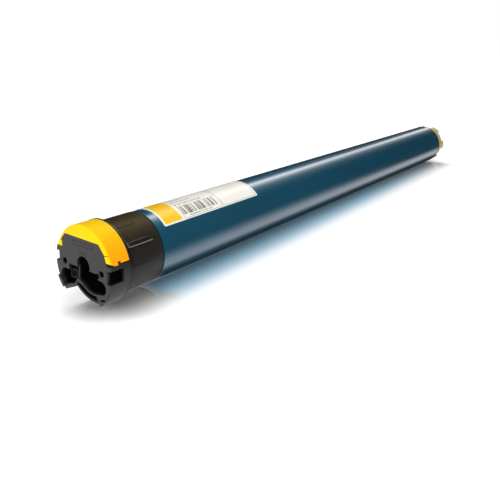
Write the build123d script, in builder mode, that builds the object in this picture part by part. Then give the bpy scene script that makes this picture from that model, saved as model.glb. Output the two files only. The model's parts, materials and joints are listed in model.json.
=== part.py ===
# Tubular roller blind motor: head with set buttons, crown, tube, limit switch, brake, motor and drive
# The axis is X, from the head's face at zero to the output drive, and +Z is up through the set buttons
from build123d import *
import os
from math import acos, asin, cos, pi, radians, sin, tan

os.makedirs("parts", exist_ok=True)

# Clearances shared by all pieces
fit_gap = 0.05
running_gap = 0.06
end_float = 0.3
overrun = 1.0

# Tube
tube_radius = 23.5
tube_wall = 1.0
bore_radius = tube_radius - tube_wall
inner_radius = bore_radius - fit_gap

# Head block, flange and the journal that the crown turns on
head_step = 2.2
head_radius = tube_radius + head_step
face_rim = 0.7
face_radius = head_radius - face_rim
head_length = 13.4
head_edge = 0.6
flange_step = 0.2
flange_radius = head_radius + flange_step
flange_thickness = 1.4
flange_edge = 0.3
crown_step = 0.1
crown_wall = 3.0
crown_radius = tube_radius + crown_step
journal_radius = crown_radius - crown_wall
journal_wall = 2.4
bulkhead_thickness = 4.4
plug_length = 18.0

# Crown
crown_length = 25.6
crown_rear_edge = 0.7
crown_key_height = 0.8
crown_key_width = 3.9
crown_key_length = 17.6
crown_key_inset = 1.2
crown_key_slot_width = 1.5
crown_key_slot_inset = 2.4
crown_key_angle = 33.0
crown_groove_width = 0.5
crown_groove_depth = 0.35
crown_groove_length = 13.0
crown_groove_angles = [1.5, 65.0, 145.0, 180.0, 215.0, 250.0, 285.0, 320.0]

# Places along the axis
flange_back = head_length + flange_thickness
crown_front = flange_back + end_float
crown_back = crown_front + crown_length
tube_front = crown_back + end_float
plug_back = tube_front + plug_length
crown_bore = journal_radius + running_gap
journal_bore = journal_radius - journal_wall

# Cover over the set buttons and the step of the head that it sits on
cover_height = 7.3
seat_height = face_radius - cover_height
seat_width_share = 0.62
seat_half_width = seat_width_share * face_radius
shoulder_width_share = 0.8
shoulder_half_width = shoulder_width_share * face_radius
shoulder_drop = 5.1
shoulder_height = seat_height - shoulder_drop
cover_gap = 0.1
cover_wall = 1.7
cover_front_wall = 2.2
cover_back_gap = 0.2
cover_edge = 1.8
near_foot_wall = 2.7
near_foot_inset = face_radius - near_foot_wall
near_foot_height = 6.7
near_foot_bottom = shoulder_height - near_foot_height
near_foot_length = 5.8
near_foot_slope_length = 3.4
near_foot_slope_height = 1.9
near_slit_height = 0.6
near_slit_depth = 1.6
near_slit_drop = 0.5
near_skirt_rise = 0.7
near_skirt_bottom = near_foot_bottom + near_skirt_rise
near_step_rise = 2.1
near_step_bottom = near_foot_bottom + near_step_rise
near_step_length = 1.8
far_foot_wall = 6.3
far_foot_inset = face_radius - far_foot_wall
far_foot_height = 3.8
far_foot_bottom = shoulder_height - far_foot_height

# Set buttons in their wells, each over a rubber pad
button_radius = 3.8
button_gap = 0.2
button_spacing_share = 0.6
button_spacing = button_spacing_share * face_radius
button_margin = 0.5
button_proud = 1.9
button_edge = 0.5
button_travel = 1.5
button_dish_radius = 2.4
button_dish_depth = 0.5
well_depth = 6.4
pad_height = 1.2
pad_radius = 3.0
pad_crown = 1.8
pad_nose_radius = 1.5

# Recess in the face: a top lobe, two arms and a cable gap at the far lower side
recess_depth = 9.8
lobe_radius = 5.7
lobe_place_shares = (0.032, 0.048)
ear_radius = 1.9
ear_place_shares = (0.52, -0.092)
arm_radius = 4.3
arm_place_shares = (0.656, -0.352)
far_step_share = -0.184
recess_shares = [
    (-0.516, -0.028), (0.52, -0.04), (0.52, -0.168), (0.656, -0.18), (0.656, -0.524), (0.392, -0.568),
    (0.192, -0.54), (0.016, -0.44), (-0.184, -0.32), (-0.236, -0.368), (-0.336, -0.5), (-0.704, -0.608),
    (-0.728, -0.512), (-0.808, -0.44), (-0.828, -0.352), (-0.656, -0.18), (-0.516, -0.184),
]
divider_shares = [(-0.196, 0.016), (-0.148, 0.016), (-0.176, -0.35), (-0.236, -0.376)]
divider_setback = 1.0
cable_gap_shares = [
    (-0.296, -0.564), (-0.224, -0.408), (-0.004, -0.48), (0.176, -0.58), (0.392, -0.608), (0.464, -0.6),
    (0.616, -0.904), (0.616, -1.08), (-0.704, -1.08), (-0.704, -0.744),
]
band_wall = 5.4
band_inner_radius = face_radius - band_wall
band_setback = 7.4
lug_proud = 1.2
lug_wall = 3.0
lug_inner_radius = head_radius - lug_wall
lug_start = 204.0
lug_end = 223.0

# Fixing holes, side notches and shallow marks of the face
screw_inset = 8.0
screw_spacing = 2 * (face_radius - screw_inset)
screw_radius = 1.7
screw_depth = 9.0
screw_rim_radius = 2.3
screw_rim_depth = 0.5
notch_wall = 3.0
notch_inset = face_radius - notch_wall
far_notch_low = -1.2
far_notch_high = 5.2
far_notch_length = 7.4
near_notch_low = -5.0
near_notch_high = 3.4
near_notch_length = 8.8
panel_width = 18.4
panel_height = 2.6
panel_u = 1.0
panel_drop = 3.5
panel_v = seat_height - panel_drop
panel_line = 0.4
panel_depth = 0.25
rib_height = 2.4
rib_width = 0.5
rib_pitch = 2.4
rib_count = 3
rib_rise = 1.8
side_slot_shares = (0.688, -0.656)
side_slot_length = 4.6
side_slot_width = 1.3
side_slot_turn = 20.0
side_slot_depth = 5.0

# Power inlet in the far arm of the recess
inlet_width = 6.4
inlet_height = 6.4
inlet_u_share = -0.5
inlet_top_gap = 0.3
inlet_u = inlet_u_share * face_radius
inlet_v = far_step_share * face_radius - inlet_top_gap - inlet_height / 2
inlet_setback = 2.6
inlet_wall = 1.1
inlet_well_depth = 4.2
inlet_edge = 0.4
pin_radius = 0.6
pin_pitch_u = 1.9
pin_pitch_v = 2.2
pin_setback = 0.9
inlet_tail = 1.0
pin_tail = 1.2

# Limit switch drive: teeth in the crown, two pinions, two lead screws and their nuts
limit_ring_wall = 2.0
limit_ring_teeth = 54
limit_module = 2 * (crown_radius - limit_ring_wall) / limit_ring_teeth
limit_pinion_teeth = 12
limit_band_start = 10.0
limit_band_length = 6.0
limit_pinion_width = 5.0
limit_angle_teeth = 8
window_gap = 0.7
screw_rod_radius = 2.4
screw_tip_radius = 1.4
screw_tip_length = 2.2
screw_channel_gap = 0.3
nut_share = 0.45
nut_length = 12.0
nut_tab_length = 3.0
nut_tab_gap = 0.5
nut_tab_height = 3.0
nut_travel = 21.6
nut_bore_gap = 0.1
nut_corner = 0.7
nut_rest_gap = 1.0

# Frame of the limit switch
frame_plate_thickness = 3.0
frame_gap = 1.0
deck_thickness = 2.4
deck_width = 30.0
deck_gap = 0.2
wire_pass_width = 14.0
wire_pass_room = 11.45
wire_pass_top = wire_pass_room - inner_radius
micro_switch_gap = 0.75
micro_switch_height = 6.5
micro_switch_edge = 0.4
plunger_radius = 1.0
plunger_length = 1.2
plunger_gap = 0.4

# Capacitor and its clip
capacitor_room = 7.45
capacitor_radius = inner_radius - capacitor_room
capacitor_length = 70.0
capacitor_edge = 1.4
capacitor_gap = 6.0
terminal_radius = 1.2
terminal_length = 4.0
terminal_spacing = 11.0
clip_width = 12.0
clip_wall = 1.6
clip_leg_width = 4.0
clip_leg_count = 3

# Brake
brake_gap = 9.0
brake_length = 18.0
brake_slot_wall = 6.05
brake_slot_outer = inner_radius - brake_slot_wall
brake_slot_inner = 9.6
brake_slot_depth = 12.0
coil_clearance = 0.3
armature_thickness = 3.0
armature_wall_gap = 2.85
armature_radius = inner_radius - armature_wall_gap
armature_bore = 5.2
armature_travel = 0.35
armature_stop_gap = 0.05
disc_thickness = 3.0
disc_step = 1.4
disc_radius = armature_radius - disc_step
disc_rest_gap = 0.1
disc_hub_radius = 7.0
disc_hub_length = 2.4
brake_spring_radius = 2.2
brake_spring_wall = 0.7
brake_spring_length = 7.0
brake_spring_circle = 5.2
brake_pin_radius = 0.9
brake_pin_gap = 0.1
brake_pin_inset = 1.6
brake_pin_circle = armature_radius - brake_pin_inset
brake_pin_count = 3

# Motor
shield_thickness = 4.0
core_gap = 0.15
shield_gap = 3.4
core_radius = inner_radius - core_gap
boss_share = 0.5112
boss_radius = boss_share * core_radius
boss_length = 5.0
bearing_share = 0.426
bearing_outer = bearing_share * core_radius
bearing_width = 7.0
bearing_race = 1.6
bearing_step = 0.4
shield_lip = 1.5
shaft_hole_radius = 5.5
shaft_radius = 4.0
core_length = 120.0
air_gap = 0.4
rotor_share = 0.5381
rotor_radius = rotor_share * core_radius
slot_count = 12
slot_inner_share = 0.6458
slot_inner = slot_inner_share * core_radius
slot_outer_share = 0.8879
slot_outer = slot_outer_share * core_radius
slot_width = 3.2
slot_mouth = 1.2
winding_gap = 0.1
winding_length = 9.0
winding_inner_share = 0.61
winding_inner = winding_inner_share * core_radius
winding_outer_share = 0.9238
winding_outer = winding_outer_share * core_radius
winding_edge = 1.6
rotor_ring_length = 3.6
rotor_ring_width = 4.0
rotor_ring_inner = rotor_radius - rotor_ring_width

# Three-stage planetary gearbox
ring_wall = 3.55
sun_teeth = 12
planet_teeth = 21
ring_teeth = 54
gear_module = 2 * (inner_radius - ring_wall) / ring_teeth
planet_count = 3
stage_widths = [10.0, 14.0, 20.0]
carrier_thicknesses = [4.0, 5.0, 8.0]
stage_gap = 0.8
gearbox_wall_gap = 0.4
planet_pin_radius = 2.2
planet_pin_gap = 0.06
carrier_gap = 0.74
carrier_edge = 0.5
sun_stub_radius = 2.4

# Output end
end_plug_length = 59.75
end_flange_thickness = 1.5
end_flange_edge = 0.4
output_shaft_radius = 9.0
drive_shaft_radius = 7.0
drive_flat = 5.6
bush_wall = 2.4
bush_length = 30.0
drive_gap = 0.5
drive_length = 16.4
drive_lug_inset = 0.6
drive_lug_radius = tube_radius - drive_lug_inset
drive_lug_height = 2.5
drive_root_radius = drive_lug_radius - drive_lug_height
drive_lug_count = 6
drive_lug_angle = 26.0
drive_edge = 0.6
drive_web = 6.0
drive_hub_radius = 12.0
drive_wall = 3.4
clip_thickness = 1.2
clip_groove_depth = 0.8
clip_overhang = 2.2
clip_mouth = 5.0
clip_seat_gap = 0.1
shaft_end_length = 1.6
output_thread_radius = 2.5
output_thread_depth = 14.0

# Rivets that hold the tube to the head and to the end cap
rivet_radius = 1.6
rivet_head_radius = 2.6
rivet_head_depth = 0.8
rivet_head_taper = 16.0
rivet_depth = 3.0
rivet_inset = 9.0
rivet_angles = [155.0, 205.0]

# Label wrapped on the tube
label_gap = 0.02
label_thickness = 0.15
label_start = 6.0
label_length = 92.0
label_low_angle = 42.0
label_high_angle = 138.0

# Lead wires inside, from the inlet to the motor
wire_radius = 0.8
wire_spacing = 2.4
wire_count = 3
wire_high_room = 8.45
wire_high = wire_high_room - inner_radius
wire_low_room = 1.55
wire_low = wire_low_room - inner_radius
wire_gap = 0.3
wire_bend = 6.0
wire_lead = 4.0
wire_run = 12.0
wire_slot_width = 8.4
wire_slot_room = 2.65
wire_slot_top = wire_slot_room - inner_radius

# Tooth forms
pressure_angle = 20.0
addendum_share = 0.8
dedendum_share = 1.12
backlash_share = 0.12
flank_steps = 3


def keep(piece, name):
    """Label a finished piece and write its file."""
    piece.part.label = name
    export_step(piece.part, "parts/" + name + ".step")


def face_plane(x):
    """Plane across the motor seen from in front of the head: local x is to the right, local y is up."""
    return Plane(origin=(x, 0, 0), x_dir=(0, -1, 0), z_dir=(-1, 0, 0))


def across(x):
    """Plane across the motor that faces the output end: local x is +Y, local y is +Z."""
    return Plane.YZ.offset(x)


def turned(points):
    """Sketch of a turned profile, each point a place along the axis and a radius."""
    with BuildSketch(Plane.XZ) as profile:
        with BuildLine():
            Polyline(*points, close=True)
        make_face()
    return profile.sketch


def polar(radius, angle):
    """Point at a radius and an angle in degrees."""
    return (radius * cos(radians(angle)), radius * sin(radians(angle)))


def involute_half_angle(teeth, module, radius, backlash):
    """Half the angle that a tooth covers at a radius, in radians."""
    pitch = module * teeth / 2
    base = pitch * cos(radians(pressure_angle))
    start = tan(radians(pressure_angle)) - radians(pressure_angle)
    if radius <= base:
        turn = 0.0
    else:
        reach = acos(base / radius)
        turn = tan(reach) - reach
    return pi / (2 * teeth) - backlash / (2 * pitch) + start - turn


def tooth_outline(teeth, module, inner, outer, backlash):
    """Closed outline of a toothed disc: the involute flanks between two radii, a tooth centred on zero."""
    points = []
    base = module * teeth / 2 * cos(radians(pressure_angle))
    low = max(inner, base)
    radii = [low + (outer - low) * step / flank_steps for step in range(flank_steps + 1)]
    if inner < base:
        radii = [inner] + radii
    for tooth in range(teeth):
        middle = 2 * pi * tooth / teeth
        flank = [(r, involute_half_angle(teeth, module, r, backlash)) for r in radii]
        rising = [(r, middle - half) for r, half in flank]
        falling = [(r, middle + half) for r, half in reversed(flank)]
        points += [(r * cos(a), r * sin(a)) for r, a in rising + falling]
    return points


def spur_outline(teeth, module):
    """Outline of an outside-toothed gear."""
    pitch = module * teeth / 2
    inner = pitch - dedendum_share * module
    outer = pitch + addendum_share * module
    return tooth_outline(teeth, module, inner, outer, backlash_share * module)


def ring_outline(teeth, module):
    """Outline of the opening of an inside-toothed ring, a space centred on zero."""
    pitch = module * teeth / 2
    inner = pitch - addendum_share * module
    outer = pitch + dedendum_share * module
    return tooth_outline(teeth, module, inner, outer, -backlash_share * module)


def placed(outline, centre, turn):
    """Outline turned by an angle in degrees and moved to a centre."""
    c, s = cos(radians(turn)), sin(radians(turn))
    return [(centre[0] + x * c - y * s, centre[1] + x * s + y * c) for x, y in outline]


def gear_blank(outline, x, centre, width, bore):
    """Outside-toothed gear across the axis, with a round bore at its centre."""
    with BuildPart() as gear:
        with BuildSketch(across(x)):
            with BuildLine():
                Polyline(*outline, close=True)
            make_face()
            with Locations(centre):
                Circle(bore, mode=Mode.SUBTRACT)
        extrude(amount=width)
    return gear


def radial_plane(x, angle, radius):
    """Plane that faces outwards at a place along the axis, its angle seen from in front of the head."""
    outward = Vector(0, -cos(radians(angle)), sin(radians(angle)))
    return Plane(origin=Vector(x, 0, 0) + outward * radius, x_dir=(1, 0, 0), z_dir=outward)


# Places that come from the sizes above
seat_top = seat_height
button_centre_x = cover_front_wall + button_margin + button_gap + button_radius
limit_band_front = crown_front + limit_band_start
limit_ring_pitch = limit_module * limit_ring_teeth / 2
limit_pinion_pitch = limit_module * limit_pinion_teeth / 2
limit_centre = limit_ring_pitch - limit_pinion_pitch
nut_width = nut_share * limit_centre
nut_height = nut_share * limit_centre
limit_pinion_tip = limit_pinion_pitch + addendum_share * limit_module
limit_pinion_front = limit_band_front + (limit_band_length - limit_pinion_width) / 2
bulkhead_back = recess_depth + bulkhead_thickness
frame_front = plug_back + frame_gap
frame_face = frame_front + frame_plate_thickness
nut_run = 2 * nut_travel + nut_length + 2 * nut_rest_gap
frame_rear = frame_face + nut_run
frame_back = frame_rear + frame_plate_thickness
nut_front = frame_face + nut_rest_gap + nut_travel
capacitor_front = frame_back + capacitor_gap + terminal_length
capacitor_back = capacitor_front + capacitor_length
brake_front = capacitor_back + brake_gap
brake_back = brake_front + brake_length
armature_rest_gap = armature_travel + armature_stop_gap
armature_front = brake_back + armature_rest_gap
armature_back = armature_front + armature_thickness
disc_front = armature_back + disc_rest_gap
disc_back = disc_front + disc_thickness
shield_front = disc_back + shield_gap
shield_back = shield_front + shield_thickness
winding_front = shield_back + end_float
core_front = winding_front + winding_length
core_back = core_front + core_length
winding_back = core_back + winding_length
rear_shield_front = winding_back + end_float
rear_shield_back = rear_shield_front + shield_thickness
gear_front = rear_shield_back + fit_gap
sun_pitch = gear_module * sun_teeth / 2
planet_pitch = gear_module * planet_teeth / 2
planet_centre = sun_pitch + planet_pitch
carrier_radius = gear_module * ring_teeth / 2 - addendum_share * gear_module - carrier_gap
stage_fronts = []
stage_start = gear_front + stage_gap
for width, thickness in zip(stage_widths, carrier_thicknesses):
    stage_fronts.append(stage_start)
    stage_start += width + stage_gap + thickness + stage_gap
gearbox_back = stage_start
end_plug_front = gearbox_back + gearbox_wall_gap
tube_back = end_plug_front + end_plug_length
tube_length = tube_back - tube_front
end_flange_back = tube_back + end_flange_thickness
drive_front = end_flange_back + drive_gap
drive_back = drive_front + drive_length
output_clip_front = drive_back + clip_seat_gap
shaft_back = output_clip_front + clip_thickness + clip_seat_gap + shaft_end_length
tip_front = bulkhead_back - screw_tip_length
limit_angle = limit_angle_teeth * 360.0 / limit_ring_teeth
limit_angles = [limit_angle, 180.0 - limit_angle]
notch_reach = head_radius - notch_inset + overrun
notch_middle = notch_inset + notch_reach / 2
nut_inner = limit_centre * cos(radians(limit_angle)) - nut_width / 2
micro_switch_width = nut_inner - nut_tab_gap - micro_switch_gap
nip_top = near_skirt_bottom - cover_gap
near_slope_top = near_foot_bottom + near_foot_slope_height
near_slit_middle = shoulder_height - near_slit_drop
lobe_v = lobe_place_shares[1] * face_radius
pad_floor = seat_top - well_depth


def of_head(shares):
    """Places on the face from their shares of the radius of its flat field."""
    return [(u * face_radius, v * face_radius) for u, v in shares]


def seat_outline(clearance):
    """Face outline of the step that the cover sits on, up to the shoulders."""
    return [
        (-shoulder_half_width - clearance, shoulder_height),
        (-seat_half_width - clearance / 2, seat_height + clearance),
        (seat_half_width + clearance / 2, seat_height + clearance),
        (shoulder_half_width + clearance, shoulder_height),
    ]


def cover_region(clearance):
    """Sketch of the space that the cover and its feet fill, less a clearance all round."""
    reach = head_radius + overrun
    with BuildSketch() as region:
        with BuildLine():
            Polyline(
                (reach, near_foot_bottom + clearance),
                (near_foot_inset + clearance, near_foot_bottom + clearance),
                *reversed(seat_outline(clearance)),
                (-far_foot_inset - clearance, shoulder_height),
                (-far_foot_inset - clearance, far_foot_bottom + clearance),
                (-reach, far_foot_bottom + clearance),
                (-reach, reach),
                (reach, reach),
                close=True,
            )
        make_face()
    return region.sketch


# Head body: block with the recess, flange, journal and plug
with BuildPart() as head_body:
    add(turned([
        (0, 0), (0, head_radius - head_edge), (head_edge, head_radius), (head_length, head_radius),
        (head_length, flange_radius - flange_edge), (head_length + flange_edge, flange_radius),
        (flange_back - flange_edge, flange_radius), (flange_back, flange_radius - flange_edge),
        (flange_back, journal_radius), (tube_front - end_float / 2, journal_radius),
        (tube_front - end_float / 2, inner_radius), (plug_back, inner_radius), (plug_back, 0),
    ]))
    revolve(axis=Axis.X)
    # Step under the cover, and the deeper foot space at the near side
    with BuildSketch(face_plane(0)) as cover_seat:
        add(cover_region(0))
    extrude(amount=-head_length, mode=Mode.SUBTRACT)
    with BuildSketch(face_plane(near_foot_length)) as step_block:
        with BuildLine():
            Polyline(
                (shoulder_half_width, near_foot_bottom),
                (head_radius * cos(asin(near_foot_bottom / head_radius)), near_foot_bottom),
                (head_radius * cos(asin(nip_top / head_radius)), nip_top),
                (shoulder_half_width, nip_top),
                close=True,
            )
        make_face()
    extrude(amount=-near_step_length)
    # Hollow of the journal and the plug
    with BuildSketch(across(bulkhead_back)):
        Circle(journal_bore)
    extrude(amount=plug_back - bulkhead_back, mode=Mode.SUBTRACT)
    # Recess: lobe, ears and arms
    with BuildSketch(face_plane(0)) as recess:
        with Locations(of_head([lobe_place_shares])):
            Circle(lobe_radius)
        with Locations(of_head([ear_place_shares])):
            Circle(ear_radius)
        with Locations(of_head([arm_place_shares, (-arm_place_shares[0], arm_place_shares[1])])):
            Circle(arm_radius)
        with BuildLine():
            Polyline(*of_head(recess_shares), close=True)
        make_face()
    extrude(amount=-recess_depth, mode=Mode.SUBTRACT)
    # Wall that parts the inlet's side of the recess from the rest
    with BuildSketch(face_plane(divider_setback)):
        with BuildLine():
            Polyline(*of_head(divider_shares), close=True)
        make_face()
    extrude(amount=divider_setback - recess_depth)
    # Cable gap through the lower far wall, and the hollow inside the band that stays behind it
    with BuildSketch(face_plane(0)) as cable_gap:
        with BuildLine():
            Polyline(*of_head(cable_gap_shares), close=True)
        make_face()
    extrude(amount=-band_setback, mode=Mode.SUBTRACT)
    with BuildSketch(face_plane(0)) as band_hollow:
        add(cable_gap.sketch_local)
        Circle(band_inner_radius, mode=Mode.INTERSECT)
    extrude(amount=-recess_depth, mode=Mode.SUBTRACT)
    # Locating lug beside the gap, proud of the face
    with BuildSketch(face_plane(lug_proud)) as lug:
        with BuildLine():
            Polyline(
                polar(lug_inner_radius, lug_start), polar(head_radius - head_edge, lug_start),
                polar(head_radius - head_edge, (lug_start + lug_end) / 2),
                polar(head_radius - head_edge, lug_end), polar(lug_inner_radius, lug_end), close=True,
            )
        make_face()
        add(recess.sketch_local, mode=Mode.SUBTRACT)
    extrude(amount=2 * lug_proud)
    # Fixing holes with a shallow rim
    with BuildSketch(face_plane(0)):
        with Locations((screw_spacing / 2, 0), (-screw_spacing / 2, 0)):
            Circle(screw_radius)
    extrude(amount=-screw_depth, mode=Mode.SUBTRACT)
    with BuildSketch(face_plane(0)):
        with Locations((screw_spacing / 2, 0), (-screw_spacing / 2, 0)):
            Circle(screw_rim_radius)
    extrude(amount=-screw_rim_depth, mode=Mode.SUBTRACT)
    # Side notches for the bracket's hooks
    with BuildSketch(face_plane(0)):
        with Locations((-notch_middle, (far_notch_low + far_notch_high) / 2)):
            Rectangle(notch_reach, far_notch_high - far_notch_low)
    extrude(amount=-far_notch_length, mode=Mode.SUBTRACT)
    with BuildSketch(face_plane(0)):
        with Locations((notch_middle, (near_notch_low + near_notch_high) / 2)):
            Rectangle(notch_reach, near_notch_high - near_notch_low)
    extrude(amount=-near_notch_length, mode=Mode.SUBTRACT)
    # Shallow frame under the seat, short ribs over the lobe and the slot by the rim
    with BuildSketch(face_plane(0)):
        with Locations((panel_u, panel_v)):
            Rectangle(panel_width, panel_height)
            Rectangle(panel_width - 2 * panel_line, panel_height - 2 * panel_line, mode=Mode.SUBTRACT)
        with Locations((lobe_place_shares[0] * face_radius, lobe_v + lobe_radius + rib_rise)):
            with GridLocations(rib_pitch, 0, rib_count, 1):
                Rectangle(rib_width, rib_height)
    extrude(amount=-panel_depth, mode=Mode.SUBTRACT)
    with BuildSketch(face_plane(0)):
        with Locations(of_head([side_slot_shares])):
            SlotOverall(side_slot_length, side_slot_width, rotation=side_slot_turn)
    extrude(amount=-side_slot_depth, mode=Mode.SUBTRACT)
    # Wells of the set buttons
    with BuildSketch(Plane.XY.offset(seat_top)):
        with Locations((button_centre_x, button_spacing / 2), (button_centre_x, -button_spacing / 2)):
            Circle(button_radius + button_gap)
    extrude(amount=-well_depth, mode=Mode.SUBTRACT)
    # Windows for the limit pinions, blind seats for their screws and the channels that these run in
    for side in limit_angles:
        with BuildSketch(across(limit_band_front - window_gap)):
            with Locations(polar(limit_centre, side)):
                Circle(limit_pinion_tip + window_gap)
        extrude(amount=limit_band_length + 2 * window_gap, mode=Mode.SUBTRACT)
        with BuildSketch(across(tip_front)):
            with Locations(polar(limit_centre, side)):
                Circle(screw_tip_radius + running_gap)
        extrude(amount=bulkhead_thickness + overrun, mode=Mode.SUBTRACT)
        with BuildSketch(across(bulkhead_back)):
            with Locations(polar(limit_centre, side)):
                Circle(screw_rod_radius + screw_channel_gap)
        extrude(amount=plug_back - bulkhead_back, mode=Mode.SUBTRACT)
    # Opening for the tail of the inlet
    with BuildSketch(face_plane(recess_depth)):
        with Locations((inlet_u, inlet_v)):
            Rectangle(inlet_width - 2 * inlet_wall + 2 * fit_gap, inlet_height - 2 * inlet_wall + 2 * fit_gap)
    extrude(amount=-bulkhead_thickness - overrun, mode=Mode.SUBTRACT)
    # Rivet holes
    for angle in rivet_angles:
        with BuildSketch(radial_plane(tube_front + rivet_inset, angle, bore_radius)):
            Circle(rivet_radius + fit_gap)
        extrude(amount=-rivet_depth - fit_gap, mode=Mode.SUBTRACT)
keep(head_body, "head_body")


# Cover over the set buttons: front wall, curved skirt and two feet
with BuildPart() as button_cover:
    with BuildSketch(across(0)):
        Circle(head_radius)
    extrude(amount=head_length - cover_back_gap)
    fillet(button_cover.edges().filter_by(GeomType.CIRCLE).sort_by(Axis.X)[0], radius=cover_edge)
    with BuildSketch(face_plane(0)):
        add(cover_region(cover_gap))
    extrude(amount=-head_length, mode=Mode.INTERSECT)
    with BuildSketch(across(cover_front_wall)):
        Circle(head_radius - cover_wall)
    extrude(amount=head_length, mode=Mode.SUBTRACT)
    # Gap between the near foot and the skirt, then the higher lower edge of the skirt
    with BuildSketch(face_plane(near_foot_length - cover_gap)):
        with Locations((head_radius, near_step_bottom - overrun)):
            Rectangle(2 * (head_radius - shoulder_half_width), 2 * overrun)
        with Locations((head_radius, near_foot_bottom)):
            Rectangle(2 * (head_radius - shoulder_half_width), 2 * overrun)
    extrude(amount=-near_step_length - 2 * cover_gap, mode=Mode.SUBTRACT)
    with BuildSketch(face_plane(near_foot_length)):
        with Locations((head_radius, near_skirt_bottom - overrun)):
            Rectangle(2 * (head_radius - shoulder_half_width), 2 * overrun)
    extrude(amount=-head_length, mode=Mode.SUBTRACT)
    # Slit above the near foot, and the sloping front corner of that foot
    with BuildSketch(face_plane(0)):
        with Locations((head_radius, near_slit_middle)):
            Rectangle(2 * (head_radius - shoulder_half_width) + cover_gap, near_slit_height)
    extrude(amount=-near_slit_depth, mode=Mode.SUBTRACT)
    with BuildSketch(Plane.XZ.offset(shoulder_half_width)):
        with BuildLine():
            Polyline(
                (-overrun, near_foot_bottom), (near_foot_slope_length + cover_gap, near_foot_bottom),
                (near_foot_slope_length + cover_gap, near_foot_bottom + cover_gap),
                (0, near_slope_top + 2 * cover_gap), (-overrun, near_slope_top + 2 * cover_gap),
                close=True,
            )
        make_face()
    extrude(amount=head_radius - shoulder_half_width, mode=Mode.SUBTRACT)
keep(button_cover, "button_cover")


# Set buttons and the rubber pads under them
def set_button(side):
    """Round push button standing out of its well."""
    bottom = pad_floor + pad_crown + button_travel + cover_gap
    top = seat_top + button_proud
    with BuildPart() as button:
        with BuildSketch(Plane.XY.offset(bottom)):
            with Locations((button_centre_x, side * button_spacing / 2)):
                Circle(button_radius)
        extrude(amount=top - bottom)
        chamfer(button.edges().filter_by(GeomType.CIRCLE).sort_by(Axis.Z)[-1], length=button_edge)
        with BuildSketch(Plane.XY.offset(top)):
            with Locations((button_centre_x, side * button_spacing / 2)):
                Circle(button_dish_radius)
        extrude(amount=-button_dish_depth, mode=Mode.SUBTRACT)
    return button


keep(set_button(-1), "set_button_near")
keep(set_button(1), "set_button_far")

with BuildPart() as button_pads:
    for side in (-1, 1):
        with BuildSketch(Plane.XY.offset(pad_floor)):
            with Locations((button_centre_x, side * button_spacing / 2)):
                Circle(pad_radius)
        extrude(amount=pad_height)
        with BuildSketch(Plane.XY.offset(pad_floor + pad_height)):
            with Locations((button_centre_x, side * button_spacing / 2)):
                Circle(pad_nose_radius)
        extrude(amount=pad_crown - pad_height)
keep(button_pads, "button_pads")


# Power inlet and its pins
inlet_back = recess_depth - fit_gap
inlet_end = bulkhead_back + inlet_tail
well_width = inlet_width - 2 * inlet_wall
well_height = inlet_height - 2 * inlet_wall
with BuildPart() as inlet_socket:
    with BuildSketch(face_plane(inlet_setback)):
        with Locations((inlet_u, inlet_v)):
            Rectangle(inlet_width, inlet_height)
    extrude(amount=inlet_setback - inlet_back)
    chamfer(inlet_socket.faces().sort_by(Axis.X)[0].edges(), length=inlet_edge)
    with BuildSketch(face_plane(inlet_back)):
        with Locations((inlet_u, inlet_v)):
            Rectangle(well_width, well_height)
    extrude(amount=inlet_back - inlet_end)
    with BuildSketch(face_plane(inlet_setback)):
        with Locations((inlet_u, inlet_v)):
            Rectangle(well_width, well_height)
    extrude(amount=-inlet_well_depth, mode=Mode.SUBTRACT)
    with BuildSketch(face_plane(inlet_setback)):
        with Locations((inlet_u, inlet_v)):
            with GridLocations(pin_pitch_u, pin_pitch_v, 2, 2):
                Circle(pin_radius + fit_gap)
    extrude(amount=inlet_setback - inlet_end, mode=Mode.SUBTRACT)
keep(inlet_socket, "inlet_socket")

with BuildPart() as inlet_pins:
    with BuildSketch(face_plane(inlet_setback + pin_setback)):
        with Locations((inlet_u, inlet_v)):
            with GridLocations(pin_pitch_u, pin_pitch_v, 2, 2):
                Circle(pin_radius)
    extrude(amount=inlet_setback + pin_setback - inlet_end - pin_tail)
keep(inlet_pins, "inlet_pins")


# Crown: ring with a slotted key, fine grooves and teeth inside
with BuildPart() as crown:
    add(turned([
        (crown_front, crown_bore), (crown_front, crown_radius - flange_edge),
        (crown_front + flange_edge, crown_radius), (crown_back - 2 * crown_rear_edge, crown_radius),
        (crown_back, crown_radius - crown_rear_edge), (crown_back, crown_bore),
    ]))
    revolve(axis=Axis.X)
    key_middle = crown_front + crown_key_inset + crown_key_length / 2
    with BuildSketch(radial_plane(key_middle, crown_key_angle, crown_radius + crown_key_height)):
        Rectangle(crown_key_length, crown_key_width)
    extrude(amount=-2 * crown_key_height)
    with BuildSketch(radial_plane(key_middle, crown_key_angle, crown_radius + crown_key_height)):
        Rectangle(crown_key_length - 2 * crown_key_slot_inset, crown_key_slot_width)
    extrude(amount=-crown_key_height, mode=Mode.SUBTRACT)
    with BuildSketch(radial_plane(crown_front, crown_key_angle, crown_radius + crown_key_height)):
        Rectangle(2 * (crown_key_inset - end_float), crown_key_width)
    extrude(amount=-2 * crown_key_height, mode=Mode.SUBTRACT)
    for angle in crown_groove_angles:
        groove_middle = crown_front + crown_key_inset + crown_groove_length / 2
        with BuildSketch(radial_plane(groove_middle, angle, crown_radius)):
            Rectangle(crown_groove_length, crown_groove_width)
        extrude(amount=-crown_groove_depth, mode=Mode.SUBTRACT)
    with BuildSketch(across(limit_band_front)):
        with BuildLine():
            Polyline(*ring_outline(limit_ring_teeth, limit_module), close=True)
        make_face()
    extrude(amount=limit_band_length, mode=Mode.SUBTRACT)
keep(crown, "crown")


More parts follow.
